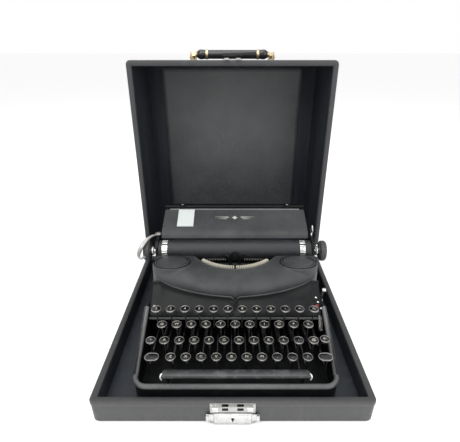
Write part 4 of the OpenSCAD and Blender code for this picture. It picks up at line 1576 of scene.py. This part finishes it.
@dataclass
class MachineFrame:
    """Bead of the frame, screws and the small fittings at the keyboard's right."""

    frame: Frame
    corner: float = 18.0
    bead: float = 3.3

    def build(self) -> None:
        """Builds the frame's dressing."""
        self.build_bead()
        self.build_screws()
        self.build_right_fittings()
        self.build_spools()

    def build_bead(self) -> None:
        """The rolled edge: round the front, up both sides and into the cowl."""
        low, high = self.frame.low("base_frame"), self.frame.high("base_frame")
        mid = (low.x + high.x) / 2
        half = self.frame.middle("front_apron").x - low.x - self.bead
        front, z, r = low.y + 3.2, 43.0, self.corner - 1.5
        plan: list[Point] = []
        for s in (-1, 1):
            run = [(mid + s * half, -50.0, 79.0), (mid + s * half, -138.0, z + 0.7)]
            for k in range(17):
                a = math.radians(90.0 * k / 16)
                run.append((mid + s * (half - r + r * math.cos(a)),
                            front + r - r * math.sin(a), z))
            plan = run if s < 0 else plan + run[::-1]
        bm = bmesh.new()
        tube(bm, [Vector(p) for p in plan], self.bead, 14)
        dress(mesh_object("frame_rolled_edge", bm), Finish.BEAD, "chassis")

    def build_screws(self) -> None:
        """Screws through the frame's sides and the apron."""
        low, high = self.frame.low("front_apron"), self.frame.high("front_apron")
        side = self.frame.high("base_frame").x - 1.7
        left = self.frame.low("base_frame").x + 1.7
        spots = []
        for y in (-20.0, 40.0, 88.0):
            spots.append(((side, y, 66.0), (0, math.pi / 2, 0.4)))
            spots.append(((left, y, 66.0), (0, -math.pi / 2, 0.9)))
        for x in (low.x + 7, high.x - 7):
            spots.append(((x, -50.2, 80.6), (0.93, 0, 0.5)))
        screws = array_on_points("frame_screws", CaseHardware(self.frame).screw(2.3, 1.1), spots,
                                 Finish.STEEL)
        dress(screws, Finish.STEEL, "chassis")

    def build_right_fittings(self) -> None:
        """The ribbon indicator, its pins and the return spring of the edge key."""
        high = self.frame.high("front_apron")
        spots = [((high.x - 8.0, -43.5, 91.2), (0.93, 0, 0)), ((high.x - 5.4, -47.5, 86.2), (0.93, 0, 0)),
                 ((high.x - 1.5, -53.5, 80.0), (0.93, 0, 0))]
        pins = array_on_points("indicator_pins", CaseHardware(self.frame).rivet(1.7, 1.6), spots,
                               Finish.CHROME)
        dress(pins, Finish.CHROME, "chassis")
        bm = bmesh.new()
        slab(bm, (high.x - 6.5, -50.6, 82.6), (3.4, 1.2, 3.4), 0.5, 0.2)
        dress(mesh_object("indicator_dot", bm), Finish.RED, "chassis")
        coil = []
        foot = Vector((high.x - 3.0, -72.0, 57.0))
        for k in range(12 * 9 + 1):
            a = 2 * math.pi * k / 12
            coil.append(foot + Vector((2.4 * math.cos(a), 0.34 * k * 0.33, 0.0))
                        + Vector((0, 2.4 * math.sin(a) * 0.35, 2.4 * math.sin(a) * 0.9 + 0.13 * k)))
        bm = bmesh.new()
        tube(bm, coil, 0.45, 6)
        dress(mesh_object("edge_key_spring", bm), Finish.STEEL, "chassis")

    def build_spools(self) -> None:
        """Ribbon wound on both spools."""
        for s, side in ((-1, "left"), (1, "right")):
            pin = self.frame.pivot(f"spool_{side}_turn")
            axis = at(pin.x, pin.y, pin.z, Matrix.Rotation(math.radians(-10.0), 4, "X"))
            bm = bmesh.new()
            r = 17.5 if s < 0 else 16.0
            turned(bm, ((14.1, -18.6), (r, -18.6), (r, -8.2), (14.1, -8.2), (14.1, -18.6)), axis, 48)
            dress(mesh_object(f"wound_ribbon_{side}", bm), Finish.FELT, f"spool_{side}")


@dataclass
class TypeBasket:
    """The arch at the printing point, the ribbon fork and the aligning scale."""

    frame: Frame
    bars: int = 43
    spread: float = 45.0
    reach: float = 69.0
    fan_y: float = 70.0

    def build(self) -> None:
        """Builds the pieces in front of the platen."""
        mid = self.frame.middle("type_guide").x
        high = self.frame.high("type_guide")
        y = self.frame.middle("type_guide").y
        bm = bmesh.new()
        arch = []
        for k in range(25):
            a = math.pi * k / 24
            arch.append(Vector((mid + 5.6 * math.cos(a), y - 0.3, high.z - 4.0 + 7.5 * math.sin(a))))
        foot = [Vector((mid + 5.6, y - 0.3, 92.0)), Vector((mid + 5.6, y - 0.3, 100.0))]
        other = [Vector((mid - 5.6, y - 0.3, 100.0)), Vector((mid - 5.6, y - 0.3, 92.0))]
        tube(bm, foot + arch + other, 1.15, 10)
        slab(bm, (mid, y, 92.0), (24.6, 1.6, 3.8), 0.6, 0.3)
        guide = mesh_object("type_guide_arch", bm)
        dress(guide, Finish.DARK, "chassis")
        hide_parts("type_guide")
        self.build_slugs(mid)
        self.build_scale(mid, y)
        self.build_fork(mid)

    def build_slugs(self, mid: float) -> None:
        """Bright type slugs along the basket's arc.

        Args:
            mid: X of the machine's middle.
        """
        high = self.frame.high("centre_typebar")
        slug = bmesh.new()
        slab(slug, (0, 0, 0), (1.7, 5.4, 4.6), 0.3, 0.25)
        slab(slug, (0, -0.6, 2.5), (1.4, 3.4, 0.9), 0.25, 0.15)
        spots = []
        for k in range(self.bars):
            turn = math.radians(self.spread * (2 * k / (self.bars - 1) - 1))
            if k != self.bars // 2:
                x, y = self.reach * math.sin(turn), self.fan_y - self.reach * math.cos(turn)
                spots.append(((mid + x, y, high.z + 0.3), (0, 0, turn)))
        slugs = array_on_points("type_slugs", mesh_object("slug", slug), spots, Finish.IVORY)
        dress(slugs, Finish.IVORY, "basket")

    def build_scale(self, mid: float, y: float) -> None:
        """The aligning scale: a dark strip with light ticks.

        Args:
            mid: X of the machine's middle.
            y: Y of the type guide.
        """
        bm = bmesh.new()
        for s in (-1, 1):
            slab(bm, (mid + s * 30.0, y - 0.4, 104.0), (34.0, 0.9, 5.0), 0.4, 0.2)
        dress(mesh_object("aligning_scale", bm), Finish.DARK, "chassis")
        tick = bmesh.new()
        slab(tick, (0, 0, 0), (0.5, 0.24, 2.6), 0.05, 0.03)
        spots = [((mid + s * (15.4 + 2.54 * k), y - 0.95, 104.8), (0, 0, 0))
                 for s in (-1, 1) for k in range(12)]
        ticks = array_on_points("scale_ticks", mesh_object("tick", tick), spots, Finish.IVORY)
        dress(ticks, Finish.IVORY, "chassis")

    def build_fork(self, mid: float) -> None:
        """The ribbon fork with rounded horns.

        Args:
            mid: X of the machine's middle.
        """
        high = self.frame.high("ribbon_vibrator")
        low = self.frame.low("ribbon_vibrator")
        y = (high.y + low.y) / 2
        bm = bmesh.new()
        for s in (-1, 1):
            path = curved([(mid + s * 9.0, y, low.z + 1.5), (mid + s * 9.0, y, high.z - 8.0),
                           (mid + s * 10.5, y, high.z - 2.5), (mid + s * 14.5, y + 0.2, high.z - 1.0),
                           (mid + s * 16.5, y, high.z - 6.0)], 6)
            tube(bm, path, 1.5, 10, 0.42)
        slab(bm, (mid, y, low.z + 1.5), (20.4, 1.2, 3.0), 0.5, 0.2)
        fork = mesh_object("ribbon_fork", bm)
        dress(fork, Finish.DARK, "vibrator")
        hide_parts("ribbon_vibrator")


# ---------------------------------------------------------------- carriage


@dataclass
class Carriage:
    """Paper table, knobs, paper fingers, levers and the margin rail's teeth."""

    frame: Frame
    thick: float = 1.3
    knob_w: float = 11.5
    ribs: int = 36
    rack_y: float = 134.4

    def build(self) -> None:
        """Builds the carriage's visible pieces."""
        self.build_table()
        self.build_ornament()
        self.build_knobs()
        self.build_fingers()
        self.build_return_lever()
        self.build_release_lever()
        self.build_margin_teeth()
        self.build_brackets()

    def slope(self) -> float:
        """Slope of the paper table in radians."""
        return math.atan2(18.0, 48.0)

    def table_profile(self) -> list[Vector]:
        """Side line of the paper table, from the platen to its top edge."""
        high = self.frame.high("paper_table")
        return curved([(0, 67.6, 128.6), (0, 70.6, 134.0), (0, 76.5, 138.3), (0, 92.0, 144.3),
                       (0, 108.0, 150.3), (0, high.y - 3.0, high.z - 1.0), (0, high.y - 0.6, high.z)], 6)

    def build_table(self) -> None:
        """The paper table, with rounded top corners, a crease and a rolled top."""
        low, high = self.frame.low("paper_table"), self.frame.high("paper_table")
        mid, half = (low.x + high.x) / 2, 119.0
        line = self.table_profile()
        across = 60
        bm = bmesh.new()
        rows = []
        for j, p in enumerate(line):
            left = len(line) - 1 - j
            pull = 3.0 * (1 - math.sqrt(max(0.0, 1 - ((6 - left) / 6) ** 2))) if left < 6 else 0.0
            row = []
            for i in range(across + 1):
                t = -1 + 2 * i / across
                row.append(bm.verts.new((mid + t * (half - pull), p.y, p.z - 0.35)))
            rows.append(row)
        for a, b in zip(rows, rows[1:]):
            for k in range(across):
                bm.faces.new((a[k], a[k + 1], b[k + 1], b[k]))
        table = mesh_object("paper_table_sheet", bm)
        skin = table.modifiers.new("skin", "SOLIDIFY")
        skin.thickness, skin.offset = self.thick * MM, -1.0
        round_off = table.modifiers.new("round", "BEVEL")
        round_off.width, round_off.segments, round_off.limit_method = 0.0004, 2, "ANGLE"
        bake(table)
        dress(table, Finish.ENAMEL, "carriage")
        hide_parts("paper_table")
        bm = bmesh.new()
        edge = line[-1]
        tube(bm, [Vector((mid - half + 8, edge.y, edge.z - 0.4)),
                  Vector((mid + half - 8, edge.y, edge.z - 0.4))], 1.3, 10)
        for s in (-1, 1):
            slab(bm, (mid + s * 116.0, 84.0, 126.0), (6.0, 8.0, 17.0), 1.0, 0.5)
            tube(bm, curved([(mid + s * 115.0, 84, 133.5), (mid + s * 114.5, 98, 140),
                             (mid + s * 114.5, 116, 148.5)], 5), 2.2, 8, 0.6)
        dress(mesh_object("paper_table_trim", bm), Finish.BEAD, "carriage")

    def on_table(self, x: float, along: float, lift: float) -> Matrix:
        """Place on the table's face.

        Args:
            x: Distance from the table's middle.
            along: Distance up the slope.
            lift: Height above the face.

        Returns:
            The place as a matrix, its Z off the face.
        """
        mid = self.frame.middle("paper_table").x
        a = self.slope()
        base = Vector((mid + x, 76.5 + along * math.cos(a), 138.4 + along * math.sin(a)))
        base += Vector((0, -math.sin(a), math.cos(a))) * lift
        return Matrix.Translation(base) @ Matrix.Rotation(a, 4, "X")

    def build_ornament(self) -> None:
        """A plain gilt ornament: a diamond between two tapered strokes."""
        bm = bmesh.new()
        place = self.on_table(0.0, 29.0, 0.5)
        for s in (-1, 1):
            for row, (start, end, wide) in enumerate(((9.0, 34.0, 1.1), (12.0, 28.0, 0.7))):
                y = 1.7 - 4.2 * row
                shape = [(s * start, y - wide), (s * (start + 3), y + wide * 0.6),
                         (s * end, y), (s * (start + 3), y - wide * 1.4)]
                loft(bm, [[tuple(place @ Vector((p, q, z))) for p, q in shape] for z in (-0.1, 0.12)])
        for r, z in ((4.6, 0.0), (2.2, 0.1)):
            shape = [(r, 0), (0, r * 0.9), (-r, 0), (0, -r * 0.9)]
            loft(bm, [[tuple(place @ Vector((p, q, w))) for p, q in shape] for w in (-0.1, 0.1 + z)])
        dress(mesh_object("table_ornament", bm, smooth=False), Finish.GOLD, "carriage")

    def build_knobs(self) -> None:
        """Both knobs with ribbed edges and bright hubs."""
        low, high = self.frame.low("platen_knobs"), self.frame.high("platen_knobs")
        mid = self.frame.middle("platen")
        bm, hubs = bmesh.new(), bmesh.new()
        spots = []
        for s, x in ((-1, low.x), (1, high.x)):
            turn = Matrix.Rotation(s * math.pi / 2, 4, "Y")
            place = at(x - s * self.knob_w, mid.y, mid.z, turn)
            turned(bm, ((0, 0), (11.5, 0), (14.4, 0.7), (15.9, 2.2), (16.0, 8.9), (15.0, 10.5),
                        (12.0, 11.2), (6.2, 11.4), (5.6, 10.8), (0, 10.8)), place, 48)
            inner = at(x - s * self.knob_w, mid.y, mid.z, Matrix.Rotation(-s * math.pi / 2, 4, "Y"))
            reach = self.knob_w + 4.0
            turned(hubs, ((0, 0), (7.0, 0), (7.4, 0.8), (7.4, 4.0), (5.4, 4.6), (4.1, 6.0),
                          (4.1, reach), (0, reach)), inner, 32)
            turned(hubs, ((0, 10.6), (5.2, 10.6), (4.6, 11.4), (0, 11.5)), place, 24)
            for k in range(self.ribs):
                a = 2 * math.pi * k / self.ribs
                y, z = polar(15.95, math.degrees(a))
                spots.append(((x - s * (self.knob_w - 5.5), mid.y + y, mid.z + z), (a, 0, 0)))
        knobs = mesh_object("knob_bodies", bm)
        dress(knobs, Finish.EBONITE, "platen_roll")
        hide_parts("platen_knobs")
        dress(mesh_object("knob_hubs", hubs), Finish.CHROME, "platen_roll")
        rib = bmesh.new()
        slab(rib, (0, 0, 0), (6.6, 1.1, 1.1), 0.4, 0.3)
        ribs = array_on_points("knob_ribs", mesh_object("rib", rib), spots, Finish.EBONITE)
        dress(ribs, Finish.EBONITE, "platen_roll")

    def build_fingers(self) -> None:
        """Two bright ribbed paper fingers that hug the platen's ends."""
        mid = self.frame.middle("platen")
        r, wide = 17.7, 8.6
        bm = bmesh.new()
        spots = []
        for s in (-1, 1):
            x = mid.x + s * 110.0 - 2.0
            for first, last in ((84, 116), (124, 206)):
                loops = []
                for k in range(13):
                    a = math.radians(first + (last - first) * k / 12)
                    ring = []
                    for dx, dr in ((-wide / 2, 0), (-wide / 2, 0.7), (wide / 2, 0.7), (wide / 2, 0)):
                        ring.append((x + dx, mid.y + (r + dr) * math.cos(a),
                                     mid.z + (r + dr) * math.sin(a)))
                    loops.append(ring)
                loft(bm, loops)
            for k in range(10):
                a = math.radians(89 + 12.2 * k)
                spots.append(((x, mid.y + (r + 0.7) * math.cos(a), mid.z + (r + 0.7) * math.sin(a)),
                              (a - math.pi / 2, 0, 0)))
        dress(mesh_object("paper_fingers", bm), Finish.CHROME, "carriage")
        rib = bmesh.new()
        slab(rib, (0, 0, 0), (8.8, 1.5, 0.9), 0.4, 0.3)
        ribs = array_on_points("paper_finger_ribs", mesh_object("rib", rib), spots, Finish.CHROME)
        dress(ribs, Finish.CHROME, "carriage")

    def build_return_lever(self) -> None:
        """The curved return lever with its bent finger plate."""
        pin = self.frame.pivot("return_swing")
        bm = bmesh.new()
        turned(bm, ((2.2, -1.4), (5.0, -1.4), (5.2, -0.6), (5.2, 1.2), (4.6, 2.0), (2.2, 2.0),
                    (2.2, -1.4)), at(*pin), 32)
        turned(bm, ((0, 1.6), (3.2, 1.6), (3.3, 2.4), (2.6, 3.0), (0, 3.1)), at(*pin), 24)
        path = curved([pin + Vector((-3, -3, 0.4)), pin + Vector((-9, -9, 1.0)),
                       pin + Vector((-17, -20, -2.0)), pin + Vector((-23, -28, -9.0)),
                       pin + Vector((-27, -33, -17.0)), pin + Vector((-27.5, -35, -22.5)),
                       pin + Vector((-23.5, -36.5, -25.0)), pin + Vector((-17, -36.5, -22.0))], 8)
        tube(bm, path, lambda t: 1.7 + 1.5 * math.sin(math.pi * min(1, t * 1.1)) ** 2, 14, 0.45)
        lever = mesh_object("return_lever_arm", bm)
        dress(lever, Finish.STEEL, "return_arm")
        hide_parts("return_lever")

    def build_release_lever(self) -> None:
        """The oval head of the paper release and its hub."""
        low, high = self.frame.low("paper_release_lever"), self.frame.high("paper_release_lever")
        pin = self.frame.pivot("release_swing")
        x = (low.x + high.x) / 2
        bm = bmesh.new()
        side = Matrix.Rotation(math.pi / 2, 4, "Y")
        turned(bm, ((2.2, -1.2), (5.0, -1.2), (5.2, -0.5), (5.2, 0.5), (5.0, 1.2), (2.2, 1.2),
                    (2.2, -1.2)), at(x, pin.y, pin.z, side), 32)
        path = [Vector((x, pin.y, pin.z + 4.6)), Vector((x, pin.y, pin.z + 14)),
                Vector((x, pin.y, pin.z + 20))]
        tube(bm, path, 2.4, 12, 0.5)
        head = []
        for k in range(33):
            a = 2 * math.pi * k / 32
            head.append(Vector((x, pin.y + 5.0 * math.cos(a), pin.z + 23.5 + 5.6 * math.sin(a))))
        tube(bm, head[:-1] + [head[0]], 1.25, 10)
        slab_bm = bmesh.new()
        turned(slab_bm, ((0, -0.7), (4.6, -0.7), (4.6, 0.7), (0, 0.7)),
               at(x, pin.y, pin.z + 23.5, side), 28)
        lever = mesh_object("release_lever_arm", bm)
        dress(lever, Finish.CHROME, "release_arm")
        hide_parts("paper_release_lever")
        dress(mesh_object("release_lever_face", slab_bm), Finish.STEEL, "release_arm")

    def build_margin_teeth(self) -> None:
        """A toothed rack behind the margin rail and heads on the stops."""
        mid = self.frame.middle("margin_rail")
        high = self.frame.high("margin_rail")
        rack = bmesh.new()
        slab(rack, (mid.x, self.rack_y, high.z - 1.4), (232.0, 1.0, 3.4), 0.3, 0.2)
        for s in (-1, 1):
            slab(rack, (mid.x + s * 117.0, self.rack_y - 3.0, high.z - 2.2), (3.4, 8.0, 2.8), 0.5, 0.3)
        dress(mesh_object("margin_rack", rack), Finish.DARK, "carriage")
        tooth = bmesh.new()
        slab(tooth, (0, 0, 0), (1.2, 1.0, 1.4), 0.2, 0.15)
        spots = [((mid.x - 106.7 + 5.08 * k, self.rack_y, high.z + 0.9), (0, 0, 0)) for k in range(43)]
        teeth = array_on_points("margin_rail_teeth", mesh_object("tooth", tooth), spots, Finish.DARK)
        dress(teeth, Finish.DARK, "carriage")
        for side in ("left", "right"):
            node = f"margin_stop_{side}"
            box_low, box_high = self.frame.low(node), self.frame.high(node)
            centre = (box_low + box_high) / 2
            bm = bmesh.new()
            slab(bm, (centre.x, centre.y, box_high.z - 0.3), (4.0, 5.6, 2.2), 1.6, 0.5)
            dress(mesh_object(f"margin_stop_head_{side}", bm), Finish.CHROME, f"stop_{side}")

    def build_brackets(self) -> None:
        """Bright hubs and screws on the carriage's end plates."""
        mid = self.frame.middle("platen")
        low, high = self.frame.low("carriage_truck"), self.frame.high("carriage_truck")
        spots = []
        for s, x in ((-1, low.x), (1, high.x)):
            for y, z in ((52.0, 88.0), (50.0, 124.0)) if s > 0 else ((52.0, 88.0), (96.0, 102.0)):
                spots.append(((x, y, z), (0, s * math.pi / 2, y)))
        screws = array_on_points("carriage_screws", CaseHardware(self.frame).screw(2.2, 1.0), spots,
                                 Finish.CHROME)
        dress(screws, Finish.CHROME, "carriage")
        bm = bmesh.new()
        for s, x in ((-1, low.x), (1, high.x)):
            turned(bm, ((4.2, 0), (8.4, 0), (8.6, 0.6), (8.0, 1.4), (4.2, 1.6), (4.2, 0)),
                   at(x, mid.y, mid.z, Matrix.Rotation(s * math.pi / 2, 4, "Y")), 36)
        dress(mesh_object("shaft_collars", bm), Finish.CHROME, "carriage")


# ---------------------------------------------------------------- studio


@dataclass
class Studio:
    """Camera, floor, sky and lamps."""

    eye: Point = (-1.7, -462.2, 398.8)
    down: float = 28.475
    focal: float = 28.6
    shift: Flat = (-0.0029, 0.0573)

    def camera(self) -> None:
        """The camera at the viewing angle."""
        data = bpy.data.cameras.new("view")
        data.lens, data.sensor_width = self.focal, 36.0
        data.shift_x, data.shift_y = self.shift
        data.clip_start, data.clip_end = 0.01, 100.0
        cam = bpy.data.objects.new("view", data)
        cam.location = Vector(self.eye) * MM
        cam.rotation_euler = (math.radians(90 - self.down), 0.0, 0.0)
        bpy.context.scene.collection.objects.link(cam)
        bpy.context.scene.camera = cam

    def room(self) -> None:
        """A pale floor and an even, pale sky."""
        data = bpy.data.meshes.new("floor")
        r = 40.0
        data.from_pydata([(-r, -r, 0), (r, -r, 0), (r, r, 0), (-r, r, 0)], [], [(0, 1, 2, 3)])
        floor = bpy.data.objects.new("floor", data)
        floor.location.z = -0.0005
        bpy.context.scene.collection.objects.link(floor)
        paper = bpy.data.materials.new("floor_paper")
        paper.use_nodes = True
        shader = paper.node_tree.nodes["Principled BSDF"]
        shader.inputs["Base Color"].default_value = (0.95, 0.95, 0.95, 1)
        shader.inputs["Roughness"].default_value = 0.9
        data.materials.append(paper)
        world = bpy.data.worlds.new("sky")
        world.use_nodes = True
        world.node_tree.nodes["Background"].inputs["Color"].default_value = (1.0, 1.0, 1.0, 1)
        world.node_tree.nodes["Background"].inputs["Strength"].default_value = 1.0
        bpy.context.scene.world = world
        bpy.context.scene.view_settings.view_transform = "Standard"

    def lamp(self, name: str, place: Point, aim: Point, size: float, power: float) -> None:
        """One soft rectangular lamp.

        Args:
            name: The lamp's name.
            place: Where it hangs, in metres.
            aim: The point it faces, in metres.
            size: Its width in metres.
            power: Its power in watts.
        """
        data = bpy.data.lights.new(name, "AREA")
        data.size, data.energy = size, power
        lamp = bpy.data.objects.new(name, data)
        lamp.location = place
        lamp.rotation_euler = (Vector(aim) - Vector(place)).to_track_quat("-Z", "Y").to_euler()
        bpy.context.scene.collection.objects.link(lamp)

    def lamps(self) -> None:
        """Key lamp over the front, and two fills."""
        self.lamp("key", (-0.5, -0.9, 1.5), (0, 0, 0.1), 1.2, 16.0)
        self.lamp("fill", (0.9, -0.8, 0.9), (0, 0, 0.1), 1.0, 7.0)
        self.lamp("top", (0.0, 0.1, 1.6), (0, 0, 0.1), 1.0, 9.0)


def dress_nodes(frame: Frame) -> None:
    """Gives every design node the finish of its material slot.

    Args:
        frame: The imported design.
    """
    slots = {row["node"]: row["material_slot"] for row in frame.data["record"]["subparts"]}
    for name, node in frame.data["nodes"].items():
        finish = NODE_FINISH.get(name, SLOT_FINISH[slots[name]])
        node.data.materials.clear()
        node.data.materials.append(Palette.of(finish))
        for face in node.data.polygons:
            face.use_smooth = False
    LOG.info("dressed %d design nodes", len(slots))


def main() -> None:
    """Builds the whole scene in order."""
    frame = Frame(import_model())
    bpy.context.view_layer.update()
    studio = Studio()
    studio.camera()
    dress_nodes(frame)
    for assembly in (CarryingCase(frame), CarryHandle(frame), CaseHardware(frame),
                     MachineFrame(frame), Cowl(frame), TypeBasket(frame), Keyboard(frame),
                     Carriage(frame)):
        assembly.build()
        LOG.info("%s done", type(assembly).__name__)
    studio.room()
    studio.lamps()


if __name__ == "__main__":
    main()
